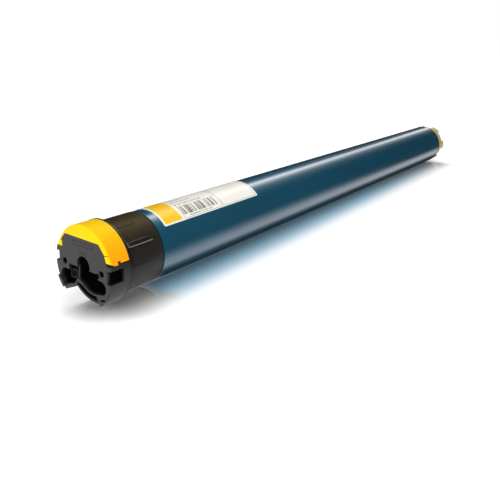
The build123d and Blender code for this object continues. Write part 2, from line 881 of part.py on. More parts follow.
# Tube and the label wrapped on it
with BuildPart() as motor_tube:
    with BuildSketch(across(tube_front)):
        Circle(tube_radius)
        Circle(bore_radius, mode=Mode.SUBTRACT)
    extrude(amount=tube_length)
    for x in (tube_front + rivet_inset, tube_back - rivet_inset):
        for angle in rivet_angles:
            with BuildSketch(radial_plane(x, angle, tube_radius)):
                Circle(rivet_radius + fit_gap)
            extrude(amount=-2 * tube_wall, mode=Mode.SUBTRACT)
keep(motor_tube, "motor_tube")

with BuildPart() as rating_label:
    with BuildSketch(Plane.XZ):
        with BuildLine():
            Polyline(
                (tube_front + label_start, tube_radius + label_gap),
                (tube_front + label_start, tube_radius + label_gap + label_thickness),
                (tube_front + label_start + label_length, tube_radius + label_gap + label_thickness),
                (tube_front + label_start + label_length, tube_radius + label_gap), close=True,
            )
        make_face()
    revolve(axis=Axis.X, revolution_arc=label_high_angle - label_low_angle)
label_turn = (label_low_angle - label_high_angle) / 2
rating_label.part = Rot(label_turn, 0, 0) * rating_label.part
keep(rating_label, "rating_label")

with BuildPart() as tube_rivets:
    for x in (tube_front + rivet_inset, tube_back - rivet_inset):
        for angle in rivet_angles:
            with BuildSketch(radial_plane(x, angle, bore_radius - rivet_depth + fit_gap)):
                Circle(rivet_radius)
            extrude(amount=rivet_depth + tube_wall)
            with BuildSketch(radial_plane(x, angle, tube_radius)):
                Circle(rivet_head_radius)
            extrude(amount=rivet_head_depth, taper=rivet_head_taper)
keep(tube_rivets, "tube_rivets")


# Limit switch: frame with its deck, screws, pinions, nuts and micro-switches
limit_names = ["near", "far"]
limit_sides = {"near": limit_angles[1], "far": limit_angles[0]}
nut_floor = limit_centre * sin(radians(limit_angle)) - nut_height / 2
deck_top = nut_floor - deck_gap
with BuildPart() as limit_frame:
    for x in (frame_front, frame_rear):
        with BuildSketch(across(x)):
            Circle(inner_radius)
            with Locations((0, wire_pass_top - inner_radius)):
                Rectangle(wire_pass_width, 2 * inner_radius, mode=Mode.SUBTRACT)
            for side in limit_angles:
                with Locations(polar(limit_centre, side)):
                    Circle((screw_rod_radius if x == frame_front else screw_tip_radius) + running_gap,
                           mode=Mode.SUBTRACT)
        extrude(amount=frame_plate_thickness)
    with BuildSketch(Plane.XY.offset(deck_top)):
        with Locations(((frame_face + frame_rear) / 2, 0)):
            Rectangle(nut_run, deck_width)
    extrude(amount=-deck_thickness)
keep(limit_frame, "limit_frame")

for name in limit_names:
    centre = polar(limit_centre, limit_sides[name])
    with BuildPart() as lead_screw:
        for start, end, radius in (
            (tip_front + fit_gap, bulkhead_back + end_float, screw_tip_radius),
            (bulkhead_back + end_float, frame_rear - end_float, screw_rod_radius),
            (frame_rear - end_float, frame_back, screw_tip_radius),
        ):
            with BuildSketch(across(start)):
                with Locations(centre):
                    Circle(radius)
            extrude(amount=end - start)
    keep(lead_screw, "lead_screw_" + name)
    outline = placed(spur_outline(limit_pinion_teeth, limit_module), centre, limit_sides[name])
    pinion_bore = screw_rod_radius + fit_gap
    limit_pinion = gear_blank(outline, limit_pinion_front, centre, limit_pinion_width, pinion_bore)
    keep(limit_pinion, "limit_pinion_" + name)


def limit_nut(name):
    """Nut on its lead screw, with a tab towards the middle that meets the micro-switch."""
    centre = polar(limit_centre, limit_sides[name])
    side = 1 if centre[0] > 0 else -1
    inner = side * centre[0] - nut_width / 2
    tab_x = nut_front if name == "near" else nut_front + nut_length - nut_tab_length
    with BuildPart() as nut:
        with BuildSketch(across(nut_front)):
            with Locations(centre):
                RectangleRounded(nut_width, nut_height, nut_corner)
        extrude(amount=nut_length)
        with BuildSketch(across(tab_x)):
            with Locations((side * (inner + nut_corner + nut_tab_gap) / 2, centre[1])):
                Rectangle(inner + nut_corner - nut_tab_gap, nut_tab_height)
        extrude(amount=nut_tab_length)
        with BuildSketch(across(nut_front)):
            with Locations(centre):
                Circle(screw_rod_radius + nut_bore_gap)
        extrude(amount=nut_length, mode=Mode.SUBTRACT)
    return nut


def micro_switch(name):
    """Small switch on the deck at one end of the nut's way, its plunger towards the tab."""
    centre = polar(limit_centre, limit_sides[name])
    side = 1 if centre[0] > 0 else -1
    length = nut_length + nut_rest_gap - nut_tab_length - plunger_gap - plunger_length
    start = frame_rear - length if name == "near" else frame_face
    face = start if name == "near" else start + length
    way = -1 if name == "near" else 1
    middle = side * (micro_switch_width / 2 + nut_tab_gap)
    with BuildPart() as switch:
        with BuildSketch(across(start)):
            with Locations((middle, deck_top + micro_switch_height / 2)):
                Rectangle(micro_switch_width, micro_switch_height)
        extrude(amount=length)
        chamfer(switch.edges().filter_by(Axis.X), length=micro_switch_edge)
        with BuildSketch(across(face)):
            with Locations((middle, centre[1])):
                Circle(plunger_radius)
        extrude(amount=way * plunger_length)
    return switch


for name in limit_names:
    keep(limit_nut(name), "limit_nut_" + name)
    keep(micro_switch(name), "micro_switch_" + name)


# Capacitor and the clip that centres it in the tube
with BuildPart() as capacitor:
    with BuildSketch(across(capacitor_front)):
        Circle(capacitor_radius)
    extrude(amount=capacitor_length)
    chamfer(capacitor.edges().filter_by(GeomType.CIRCLE), length=capacitor_edge)
    with BuildSketch(across(capacitor_front - terminal_length)):
        with GridLocations(terminal_spacing, 0, 2, 1):
            Circle(terminal_radius)
    extrude(amount=terminal_length)
keep(capacitor, "capacitor")

with BuildPart() as capacitor_clip:
    clip_outer = capacitor_radius + fit_gap + clip_wall
    with BuildSketch(across((capacitor_front + capacitor_back - clip_width) / 2)):
        Circle(clip_outer)
        with PolarLocations(0, clip_leg_count, start_angle=90):
            with Locations(((clip_outer + inner_radius - fit_gap) / 2 - clip_wall / 2, 0)):
                Rectangle(inner_radius - fit_gap - clip_outer + clip_wall, clip_leg_width)
        Circle(capacitor_radius + fit_gap, mode=Mode.SUBTRACT)
    extrude(amount=clip_width)
keep(capacitor_clip, "capacitor_clip")


def wire_slot():
    """Sketch region at the bottom of a full disc that lets the lead wires pass."""
    with BuildSketch() as region:
        with Locations((0, wire_slot_top - inner_radius)):
            Rectangle(wire_slot_width, 2 * inner_radius)
    return region.sketch


# Brake: pot with coil and springs, armature that slides on three pins, and the disc on the shaft
with BuildPart() as brake_housing:
    with BuildSketch(across(brake_front)):
        Circle(inner_radius)
        add(wire_slot(), mode=Mode.SUBTRACT)
    extrude(amount=brake_length)
    with BuildSketch(across(brake_back)):
        Circle(brake_slot_outer)
        Circle(brake_slot_inner, mode=Mode.SUBTRACT)
    extrude(amount=-brake_slot_depth, mode=Mode.SUBTRACT)
    with BuildSketch(across(brake_back)):
        with PolarLocations(brake_spring_circle, brake_pin_count):
            Circle(brake_spring_radius + fit_gap)
    extrude(amount=-brake_spring_length, mode=Mode.SUBTRACT)
    with BuildSketch(across(brake_back)):
        with PolarLocations(brake_pin_circle, brake_pin_count, start_angle=90):
            Circle(brake_pin_radius)
    extrude(amount=armature_rest_gap + armature_thickness)
keep(brake_housing, "brake_housing")

with BuildPart() as brake_coil:
    with BuildSketch(across(brake_back - brake_slot_depth + fit_gap)):
        Circle(brake_slot_outer - coil_clearance)
        Circle(brake_slot_inner + coil_clearance, mode=Mode.SUBTRACT)
    extrude(amount=brake_slot_depth - 2 * coil_clearance)
keep(brake_coil, "brake_coil")

with BuildPart() as brake_springs:
    with BuildSketch(across(brake_back - brake_spring_length + fit_gap)):
        with PolarLocations(brake_spring_circle, brake_pin_count):
            Circle(brake_spring_radius)
            Circle(brake_spring_radius - brake_spring_wall, mode=Mode.SUBTRACT)
    extrude(amount=brake_spring_length - fit_gap)
keep(brake_springs, "brake_springs")

with BuildPart() as brake_armature:
    with BuildSketch(across(armature_front)):
        Circle(armature_radius)
        Circle(armature_bore, mode=Mode.SUBTRACT)
        with PolarLocations(brake_pin_circle, brake_pin_count, start_angle=90):
            Circle(brake_pin_radius + brake_pin_gap, mode=Mode.SUBTRACT)
    extrude(amount=armature_thickness)
keep(brake_armature, "brake_armature")

with BuildPart() as brake_disc:
    add(turned([
        (disc_front, shaft_radius + fit_gap), (disc_front, disc_radius), (disc_back, disc_radius),
        (disc_back, disc_hub_radius), (disc_back + disc_hub_length, disc_hub_radius),
        (disc_back + disc_hub_length, shaft_radius + fit_gap),
    ]))
    revolve(axis=Axis.X)
keep(brake_disc, "brake_disc")


# Motor: end shields, bearings, stator, windings and rotor
def end_shield(plate_start, way):
    """End plate with a bearing boss on the side of the rotor; way is 1 towards the output end."""
    face = plate_start if way > 0 else plate_start + shield_thickness
    seat = face + way * shield_lip
    end = face + way * (shield_thickness + boss_length)
    with BuildPart() as shield:
        with BuildSketch(across(plate_start)):
            Circle(inner_radius)
            add(wire_slot(), mode=Mode.SUBTRACT)
        extrude(amount=shield_thickness)
        add(turned([(face, 0), (face, boss_radius), (end, boss_radius), (end, 0)]))
        revolve(axis=Axis.X)
        add(turned([
            (face - way * overrun, 0), (face - way * overrun, shaft_hole_radius), (seat, shaft_hole_radius),
            (seat, bearing_outer + fit_gap), (end + way * overrun, bearing_outer + fit_gap),
            (end + way * overrun, 0),
        ]))
        revolve(axis=Axis.X, mode=Mode.SUBTRACT)
    return shield


def bearing(start):
    """Ball bearing as one turned ring with stepped races."""
    end = start + bearing_width
    bore = shaft_radius + running_gap
    with BuildPart() as ring:
        add(turned([
            (start, bore), (start, bore + bearing_race), (start + bearing_step, bore + bearing_race),
            (start + bearing_step, bearing_outer - bearing_race), (start, bearing_outer - bearing_race),
            (start, bearing_outer), (end, bearing_outer), (end, bearing_outer - bearing_race),
            (end - bearing_step, bearing_outer - bearing_race), (end - bearing_step, bore + bearing_race),
            (end, bore + bearing_race), (end, bore),
        ]))
        revolve(axis=Axis.X)
    return ring


keep(end_shield(shield_front, 1), "front_end_shield")
keep(end_shield(rear_shield_front, -1), "rear_end_shield")
front_bearing_start = shield_front + shield_lip + fit_gap
rear_bearing_start = rear_shield_back - shield_lip - fit_gap - bearing_width
keep(bearing(front_bearing_start), "front_bearing")
keep(bearing(rear_bearing_start), "rear_bearing")


def slots(clearance):
    """Sketch of the stator's slots, each a straight pocket, less a clearance all round."""
    with BuildSketch() as region:
        with PolarLocations((slot_inner + slot_outer) / 2, slot_count):
            Rectangle(slot_outer - slot_inner - 2 * clearance, slot_width - 2 * clearance)
    return region.sketch


with BuildPart() as stator_core:
    with BuildSketch(across(core_front)):
        Circle(core_radius)
        add(slots(0), mode=Mode.SUBTRACT)
        with PolarLocations((slot_inner + rotor_radius) / 2, slot_count):
            Rectangle(slot_inner - rotor_radius + overrun, slot_mouth, mode=Mode.SUBTRACT)
        Circle(rotor_radius + air_gap, mode=Mode.SUBTRACT)
    extrude(amount=core_length)
keep(stator_core, "stator_core")

with BuildPart() as stator_windings:
    with BuildSketch(across(core_front - winding_edge)):
        add(slots(winding_gap))
    extrude(amount=core_length + 2 * winding_edge)
    for start in (winding_front, core_back + winding_gap):
        end = start + winding_length - winding_gap
        add(turned([
            (start, winding_inner), (start, winding_outer - winding_edge),
            (start + winding_edge, winding_outer), (end - winding_edge, winding_outer),
            (end, winding_outer - winding_edge), (end, winding_inner),
        ]))
        revolve(axis=Axis.X)
keep(stator_windings, "stator_windings")

with BuildPart() as rotor_core:
    add(turned([
        (core_front, shaft_radius + fit_gap), (core_front - rotor_ring_length, rotor_ring_inner),
        (core_front - rotor_ring_length, rotor_radius - overrun), (core_front, rotor_radius),
        (core_back, rotor_radius), (core_back + rotor_ring_length, rotor_radius - overrun),
        (core_back + rotor_ring_length, rotor_ring_inner), (core_back, shaft_radius + fit_gap),
    ]))
    revolve(axis=Axis.X)
keep(rotor_core, "rotor_core")


# Gear stages, each with its sun, three planets and a carrier
with BuildPart() as rotor_shaft:
    add(turned([
        (armature_front, 0), (armature_front, shaft_radius), (rear_shield_back, shaft_radius),
        (rear_shield_back, sun_stub_radius), (stage_fronts[0] + stage_widths[0], sun_stub_radius),
        (stage_fronts[0] + stage_widths[0], 0),
    ]))
    revolve(axis=Axis.X)
keep(rotor_shaft, "rotor_shaft")

with BuildPart() as ring_gear:
    with BuildSketch(across(gear_front)):
        Circle(inner_radius)
        with BuildLine():
            Polyline(*ring_outline(ring_teeth, gear_module), close=True)
        make_face(mode=Mode.SUBTRACT)
    extrude(amount=gearbox_back - gear_front)
keep(ring_gear, "ring_gear")

planet_angles = [360.0 * number / planet_count for number in range(planet_count)]
for stage, (front, width, thickness) in enumerate(zip(stage_fronts, stage_widths, carrier_thicknesses)):
    number = str(stage + 1)
    sun = gear_blank(spur_outline(sun_teeth, gear_module), front, (0, 0), width, sun_stub_radius + fit_gap)
    keep(sun, "sun_gear_" + number)
    for place, angle in enumerate(planet_angles):
        centre = polar(planet_centre, angle)
        outline = placed(spur_outline(planet_teeth, gear_module), centre, angle)
        planet = gear_blank(outline, front, centre, width, planet_pin_radius + planet_pin_gap)
        keep(planet, "planet_gear_" + number + "_" + str(place + 1))
    plate_front = front + width + stage_gap
    plate_back = plate_front + thickness
    last = stage == len(stage_widths) - 1
    with BuildPart() as carrier:
        with BuildSketch(across(plate_front)):
            Circle(carrier_radius)
        extrude(amount=thickness)
        chamfer(carrier.edges().filter_by(GeomType.CIRCLE), length=carrier_edge)
        with BuildSketch(across(front)):
            with PolarLocations(planet_centre, planet_count):
                Circle(planet_pin_radius)
        extrude(amount=width + stage_gap)
        if not last:
            with BuildSketch(across(plate_back)):
                Circle(sun_stub_radius)
            extrude(amount=stage_gap + stage_widths[stage + 1])
        else:
            with BuildSketch(across(plate_back)):
                Circle(output_shaft_radius)
            extrude(amount=end_flange_back - plate_back)
            with BuildSketch(across(end_flange_back)):
                Circle(drive_shaft_radius)
            extrude(amount=shaft_back - end_flange_back)
            with BuildSketch(across(drive_front)):
                with Locations((0, drive_flat + overrun), (0, -drive_flat - overrun)):
                    Rectangle(2 * drive_shaft_radius, 2 * overrun)
            extrude(amount=drive_length, mode=Mode.SUBTRACT)
            with BuildSketch(across(output_clip_front - clip_seat_gap)):
                Circle(drive_shaft_radius + overrun)
                Circle(drive_shaft_radius - clip_groove_depth, mode=Mode.SUBTRACT)
            extrude(amount=clip_thickness + 2 * clip_seat_gap, mode=Mode.SUBTRACT)
            with BuildSketch(across(shaft_back)):
                Circle(output_thread_radius)
            extrude(amount=-output_thread_depth, mode=Mode.SUBTRACT)
    keep(carrier, "output_carrier" if last else "carrier_" + number)


# Output end: cap with its bush, drive and clip
with BuildPart() as end_cap:
    bush_outer = output_shaft_radius + running_gap + bush_wall
    add(turned([
        (end_plug_front, output_shaft_radius + overrun), (end_plug_front, inner_radius),
        (tube_back + fit_gap, inner_radius), (tube_back + fit_gap, tube_radius),
        (end_flange_back - end_flange_edge, tube_radius), (end_flange_back, tube_radius - end_flange_edge),
        (end_flange_back, bush_outer + fit_gap), (end_flange_back - bush_length, bush_outer + fit_gap),
        (end_flange_back - bush_length, output_shaft_radius + overrun),
    ]))
    revolve(axis=Axis.X)
    for angle in rivet_angles:
        with BuildSketch(radial_plane(tube_back - rivet_inset, angle, bore_radius)):
            Circle(rivet_radius + fit_gap)
        extrude(amount=-rivet_depth - fit_gap, mode=Mode.SUBTRACT)
keep(end_cap, "end_cap")

with BuildPart() as output_bush:
    with BuildSketch(across(end_flange_back - bush_length + fit_gap)):
        Circle(bush_outer)
        Circle(output_shaft_radius + running_gap, mode=Mode.SUBTRACT)
    extrude(amount=bush_length - fit_gap)
keep(output_bush, "output_bush")

with BuildPart() as output_drive:
    with BuildSketch(across(drive_front)) as drive_profile:
        Circle(drive_lug_radius)
        with BuildLine():
            Polyline((0, 0), *[polar(2 * drive_lug_radius, drive_lug_angle / 2 + step * (
                360.0 / drive_lug_count - drive_lug_angle) / flank_steps) for step in range(flank_steps + 1)],
                close=True)
        gap_face = make_face(mode=Mode.PRIVATE)
        with PolarLocations(0, drive_lug_count):
            add(gap_face, mode=Mode.SUBTRACT)
        Circle(drive_root_radius)
    extrude(amount=drive_length)
    chamfer(output_drive.faces().sort_by(Axis.X)[-1].outer_wire().edges(), length=drive_edge)
    with BuildSketch(across(drive_back)):
        Circle(drive_root_radius - drive_wall)
        Circle(drive_hub_radius, mode=Mode.SUBTRACT)
    extrude(amount=drive_web - drive_length, mode=Mode.SUBTRACT)
    with BuildSketch(across(drive_front)):
        Circle(drive_shaft_radius + fit_gap)
        Rectangle(2 * drive_hub_radius, 2 * (drive_flat + fit_gap), mode=Mode.INTERSECT)
    extrude(amount=drive_length, mode=Mode.SUBTRACT)
keep(output_drive, "output_drive")

with BuildPart() as output_clip:
    with BuildSketch(across(output_clip_front)):
        Circle(drive_shaft_radius + clip_overhang)
        Circle(drive_shaft_radius - clip_groove_depth + fit_gap, mode=Mode.SUBTRACT)
        with Locations((0, drive_shaft_radius)):
            Rectangle(clip_mouth, 2 * clip_overhang + clip_mouth, mode=Mode.SUBTRACT)
    extrude(amount=clip_thickness)
keep(output_clip, "output_clip")


# Lead wires along the bottom of the tube, from the inlet's pins to the windings
with BuildPart() as lead_wires:
    for number in range(wire_count):
        y = (number - (wire_count - 1) / 2) * wire_spacing
        start = (inlet_end + pin_tail + wire_gap, -inlet_u + y, inlet_v)
        route = [
            start,
            (start[0] + wire_lead, start[1], start[2]),
            (start[0] + wire_lead + wire_run, y, wire_high),
            (frame_face + wire_lead, y, wire_high),
            (frame_face + wire_lead + wire_run, y, wire_low),
            (winding_front - wire_gap, y, wire_low),
        ]
        with BuildLine() as path:
            FilletPolyline(*route, radius=wire_bend)
        with BuildSketch(Plane(origin=start, z_dir=(1, 0, 0))):
            Circle(wire_radius)
        sweep(path=path.line)
keep(lead_wires, "lead_wires")
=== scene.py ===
"""Tubular roller blind motor: shapes, finishes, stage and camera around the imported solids."""

import json
from functools import reduce
from math import cos, pi, radians, sin, sqrt

import bmesh
import bpy
from bpy.props import FloatProperty, FloatVectorProperty, IntProperty, PointerProperty
from mathutils import Matrix, Vector

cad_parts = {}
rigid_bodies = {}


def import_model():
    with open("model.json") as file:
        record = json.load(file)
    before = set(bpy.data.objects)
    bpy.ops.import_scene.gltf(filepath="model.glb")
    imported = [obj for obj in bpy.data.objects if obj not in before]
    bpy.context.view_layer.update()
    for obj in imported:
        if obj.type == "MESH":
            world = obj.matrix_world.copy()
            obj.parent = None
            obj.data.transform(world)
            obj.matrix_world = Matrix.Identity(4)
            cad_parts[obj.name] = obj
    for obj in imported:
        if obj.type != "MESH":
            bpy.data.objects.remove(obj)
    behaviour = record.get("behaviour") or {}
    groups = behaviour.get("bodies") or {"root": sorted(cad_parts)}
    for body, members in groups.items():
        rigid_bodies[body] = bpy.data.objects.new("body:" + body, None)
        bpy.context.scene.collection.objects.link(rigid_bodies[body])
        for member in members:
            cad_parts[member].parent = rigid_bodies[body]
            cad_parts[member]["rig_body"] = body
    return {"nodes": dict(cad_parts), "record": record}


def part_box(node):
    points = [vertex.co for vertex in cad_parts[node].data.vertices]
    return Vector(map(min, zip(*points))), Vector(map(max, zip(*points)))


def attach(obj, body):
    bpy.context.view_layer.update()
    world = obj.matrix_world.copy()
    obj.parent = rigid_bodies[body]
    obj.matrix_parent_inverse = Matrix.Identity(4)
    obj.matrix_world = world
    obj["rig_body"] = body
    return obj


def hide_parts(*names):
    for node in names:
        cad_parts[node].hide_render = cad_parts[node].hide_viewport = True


bl_info = {
    "name": "Tubular Blind Motor",
    "version": (1, 0, 0),
    "blender": (4, 5, 0),
    "location": "3D View > Sidebar > Blind Motor",
    "description": "Shapes, finishes and stage of a tubular roller blind motor",
    "category": "Object",
}

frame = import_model()

MM = 0.001
TUBE_LOW, TUBE_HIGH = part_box("motor_tube")
LABEL_LOW, LABEL_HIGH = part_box("rating_label")
HEAD_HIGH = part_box("head_body")[1]

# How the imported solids' meshes are cleaned, rounded and shaded, and how finely the new ones are cut.
MERGE_DISTANCE = 2e-6
CUT_THRESHOLD = 1e-7
SAME_RADIUS = 1e-9
FLAT_ANGLE = radians(0.4)
SHARP_ANGLE = radians(28)
SMOOTH_ANGLE = radians(35)
ROUND_SMOOTH_ANGLE = radians(40)
FACE_WEIGHT = 80
TUBE_STATIONS = 12
LABEL_STEPS = 56
LABEL_CORNER_STEPS = 5


def colour(red, green, blue, about):
    """Colour property of a finish."""
    return FloatVectorProperty(
        name=about[0].upper() + about[1:], description="Colour of the " + about, subtype="COLOR",
        size=3, min=0.0, max=1.0, default=(red, green, blue))


def length(value, about):
    """Length property in metres."""
    return FloatProperty(
        name=about[0].upper() + about[1:], description=about[0].upper() + about[1:],
        default=value, min=0.0, unit="LENGTH", precision=5)


class BlindMotorSizes(bpy.types.PropertyGroup):
    """Sizes of the rounded edges, the tube and the label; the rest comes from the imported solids."""

    moulding_edge: length(0.22 * MM, "edge radius of the moulded pieces")
    cover_edge: length(0.35 * MM, "edge radius of the yellow cover")
    crown_edge: length(0.18 * MM, "edge radius of the crown")
    metal_edge: length(0.15 * MM, "edge radius of the metal pieces")
    tube_radius: length(TUBE_HIGH.z, "outer radius of the tube")
    tube_wall: length(1.0 * MM, "wall of the tube")
    tube_lip: length(0.22 * MM, "rounding of the tube's cut ends")
    label_thickness: length(0.15 * MM, "thickness of the label")
    label_corner: length(0.9 * MM, "corner radius of the label")
    label_low: FloatProperty(
        name="Label's lower edge", description="Angle of the label's near edge above the near side",
        default=radians(42), subtype="ANGLE")
    label_high: FloatProperty(
        name="Label's upper edge", description="Angle of the label's far edge above the near side",
        default=radians(138), subtype="ANGLE")
    round_steps: IntProperty(
        name="Steps round the tube", description="Faces round the tube", default=192, min=24)


class BlindMotorColours(bpy.types.PropertyGroup):
    """Colours of the finishes."""

    head: colour(0.026, 0.025, 0.026, "head's moulding")
    # Near-black painted shade in the head's recesses and screw holes.
    hollow: colour(0.0025, 0.0025, 0.003, "head's hollows")
    # The head's flange, journal and plug are painted black as shade; on the crown this colour is a random
    # dark mottle.
    flange: colour(0.006, 0.006, 0.007, "flange and plug")
    cover: colour(1.0, 0.62, 0.0, "cover over the set buttons")
    # Painted shade: the cover's yellow deepens on its lower flanks and behind its face.
    cover_flank_shade: colour(1.0, 0.40, 0.0, "cover's lower flanks")
    # The crown's tones by side are partly its own colour and partly painted light; its lighter lower side
    # is a painted reflection of the floor.
    crown: colour(0.044, 0.027, 0.004, "crown's upper side")
    crown_low: colour(0.022, 0.021, 0.020, "crown's near side")
    crown_underside_painted_reflection: colour(0.056, 0.056, 0.060, "crown's lower side")
    # Painted highlight along the flange's edge and the edges of the crown's key.
    worn_edge: colour(0.30, 0.29, 0.26, "worn edges of the mouldings")
    tube: colour(0.0075, 0.092, 0.160, "tube's paint")
    label: colour(0.97, 0.95, 0.86, "label's paper")
    label_border: colour(0.93, 0.94, 0.95, "label's border")
    label_panel: colour(1.0, 0.60, 0.0, "label's coloured panel")
    label_halo: colour(1.0, 0.82, 0.34, "pale edge of the coloured panel")
    label_ink: colour(0.10, 0.095, 0.09, "label's print")
    inlet: colour(0.011, 0.011, 0.012, "power inlet")
    button: colour(0.80, 0.80, 0.78, "set buttons")
    rubber: colour(0.03, 0.03, 0.03, "rubber pads")
    cap: colour(0.010, 0.010, 0.011, "end cap")
    drive: colour(0.95, 0.72, 0.30, "output drive")
    nylon: colour(0.80, 0.76, 0.66, "nylon pieces")
    black: colour(0.014, 0.014, 0.015, "black mouldings")
    can: colour(0.055, 0.058, 0.064, "capacitor's case")
    copper: colour(0.80, 0.34, 0.16, "copper windings")
    wire: colour(0.045, 0.11, 0.36, "wires")
    alloy: colour(0.56, 0.57, 0.58, "cast alloy")
    steel: colour(0.50, 0.51, 0.53, "steel")
    lamination: colour(0.24, 0.25, 0.27, "core's sheets")
    lining: colour(0.12, 0.085, 0.06, "brake lining")
    bronze: colour(0.62, 0.38, 0.16, "bronze bush")
    brass: colour(0.05, 0.04, 0.025, "contact pins")


class Sock:
    """Output of a node that takes part in Python sums."""

    def __init__(self, finish, socket):
        self.finish = finish
        self.socket = socket

    def __add__(self, other):
        return self.finish.maths("ADD", self, other)

    def __sub__(self, other):
        return self.finish.maths("SUBTRACT", self, other)

    def __rsub__(self, other):
        return self.finish.maths("SUBTRACT", other, self)

    def __mul__(self, other):
        return self.finish.maths("MULTIPLY", self, other)

    def __truediv__(self, other):
        return self.finish.maths("DIVIDE", self, other)

    def __abs__(self):
        return self.finish.maths("ABSOLUTE", self)

    __radd__ = __add__
    __rmul__ = __mul__


class Finish:
    """Node tree of a material or of the world."""

    def __init__(self, name, owner=None):
        self.owner = owner or bpy.data.materials.new(name)
        self.owner.use_nodes = True
        self.tree = self.owner.node_tree
        self.tree.nodes.clear()

    def node(self, kind, settings=None, inputs=None, out=0):
        """Add a node: its settings first, then the values or links of its sockets."""
        made = self.tree.nodes.new(kind)
        for key, value in (settings or {}).items():
            if key == "stops":
                stops = made.color_ramp.elements
                while len(stops) < len(value):
                    stops.new(1.0)
                for stop, (place, tint) in zip(stops, value):
                    stop.position = place
                    stop.color = (*tint, 1.0) if len(tint) == 3 else tint
            else:
                setattr(made, key, value)
        for key, value in (inputs or {}).items():
            socket = made.inputs[key]
            if isinstance(value, Sock):
                self.tree.links.new(value.socket, socket)
            elif socket.type == "RGBA" and len(value) == 3:
                socket.default_value = (*value, 1.0)
            else:
                socket.default_value = value
        return Sock(self, made.outputs[out]) if out is not None else made

    def maths(self, operation, first, second=0.0):
        """Math node on two values or sockets."""
        return self.node("ShaderNodeMath", {"operation": operation}, {0: first, 1: second})

    def step(self, value, low, high, to_low=0.0, to_high=1.0):
        """Smooth ramp of a value between two limits."""
        limits = {"From Min": low, "From Max": high, "To Min": to_low, "To Max": to_high}
        return self.node(
            "ShaderNodeMapRange", {"interpolation_type": "SMOOTHSTEP"}, {"Value": value, **limits})

    def mix(self, factor, first, second):
        """Mix of two colours."""
        return self.node(
            "ShaderNodeMix", {"data_type": "RGBA"}, {0: factor, 6: first, 7: second}, out=2)

    def place(self, scale=(1.0, 1.0, 1.0)):
        """Object coordinates, stretched by a scale."""
        at = self.node("ShaderNodeTexCoord", out="Object")
        return self.node("ShaderNodeMapping", None, {"Vector": at, "Scale": scale})

    def parts(self, vector):
        """The three parts of a vector."""
        split = self.node("ShaderNodeSeparateXYZ", None, {0: vector}, out=None)
        return [Sock(self, split.outputs[axis]) for axis in range(3)]

    def here(self):
        """Object coordinates in millimetres."""
        return self.parts(self.place((1 / MM, 1 / MM, 1 / MM)))

    def round_axis(self):
        """Place along the motor and distance from its axis in mm, and degrees above its near side."""
        x, y, z = self.here()
        turn = self.maths("ARCTAN2", z, 0.0 - y) * (180 / pi)
        return x, self.distance(y, z), turn

    def band(self, value, low, high, soft):
        """1 between two limits and 0 outside them, with soft edges."""
        return self.step(value, low - soft, low + soft) * self.step(value, high + soft, high - soft)

    def largest(self, first, second):
        """Larger of two values."""
        return self.maths("MAXIMUM", first, second)

    def smallest(self, first, second):
        """Smaller of two values."""
        return self.maths("MINIMUM", first, second)

    def distance(self, first, second):
        """Length of the diagonal over two lengths at right angles."""
        return self.maths("SQRT", first * first + second * second)

    def noise(self, size, detail, rough, stretch=(1.0, 1.0, 1.0)):
        """Noise value whose features have a size in metres."""
        return self.node(
            "ShaderNodeTexNoise", None,
            {"Vector": self.place(stretch), "Scale": 1.0 / size, "Detail": detail,
             "Roughness": rough})

    def bump(self, height, depth, strength):
        """Normal from a height whose 0 and 1 are a depth in metres apart."""
        return self.node(
            "ShaderNodeBump", None, {"Strength": strength, "Distance": depth, "Height": height})

    def principled(self, **sockets):
        """Principled shader; its sockets' names have _ in place of a space."""
        inputs = {key.replace("_", " "): value for key, value in sockets.items()}
        return self.node("ShaderNodeBsdfPrincipled", None, inputs)

    def surface(self, **sockets):
        """Principled shader on the output."""
        return self.output(self.principled(**sockets))

    def with_painted_shade(self, factor, tint, **sockets):
        """Principled shader that gives way to a matt dark one, as painted shade, where the factor is 1."""
        shader = self.principled(**sockets)
        dark = self.principled(Base_Color=tint, Roughness=0.9, Specular_IOR_Level=0.0)
        return self.output(self.mixed(factor, shader, dark))

    def mixed(self, factor, first, second):
        """Mix of two shaders."""
        return self.node("ShaderNodeMixShader", None, {0: factor, 1: first, 2: second})

    def glow(self, tint, strength):
        """Emission shader."""
        return self.node("ShaderNodeEmission", None, {"Color": tint, "Strength": strength})

    def ray(self, *kinds):
        """1 for rays of the kinds that are named and 0 for others."""
        light = self.node("ShaderNodeLightPath", out=None)
        return reduce(self.largest, [Sock(self, light.outputs[kind]) for kind in kinds])

    def ramp(self, value, low, high, levels):
        """Grey level along a value: pairs of value and level, straight in between."""
        stops = [((place - low) / (high - low), (level, level, level)) for place, level in levels]
        along = self.node(
            "ShaderNodeMapRange", None, {"Value": value, "From Min": low, "From Max": high})
        return self.node("ShaderNodeValToRGB", {"stops": stops}, {0: along})

    def output(self, shader, kind="ShaderNodeOutputMaterial"):
        """Link a shader to the output."""
        self.node(kind, None, {"Surface": shader}, out=None)
        return self.owner


def shade(tint, factor):
    """Colour made lighter or darker by a factor."""
    return tuple(min(1.0, part * factor) for part in tint)


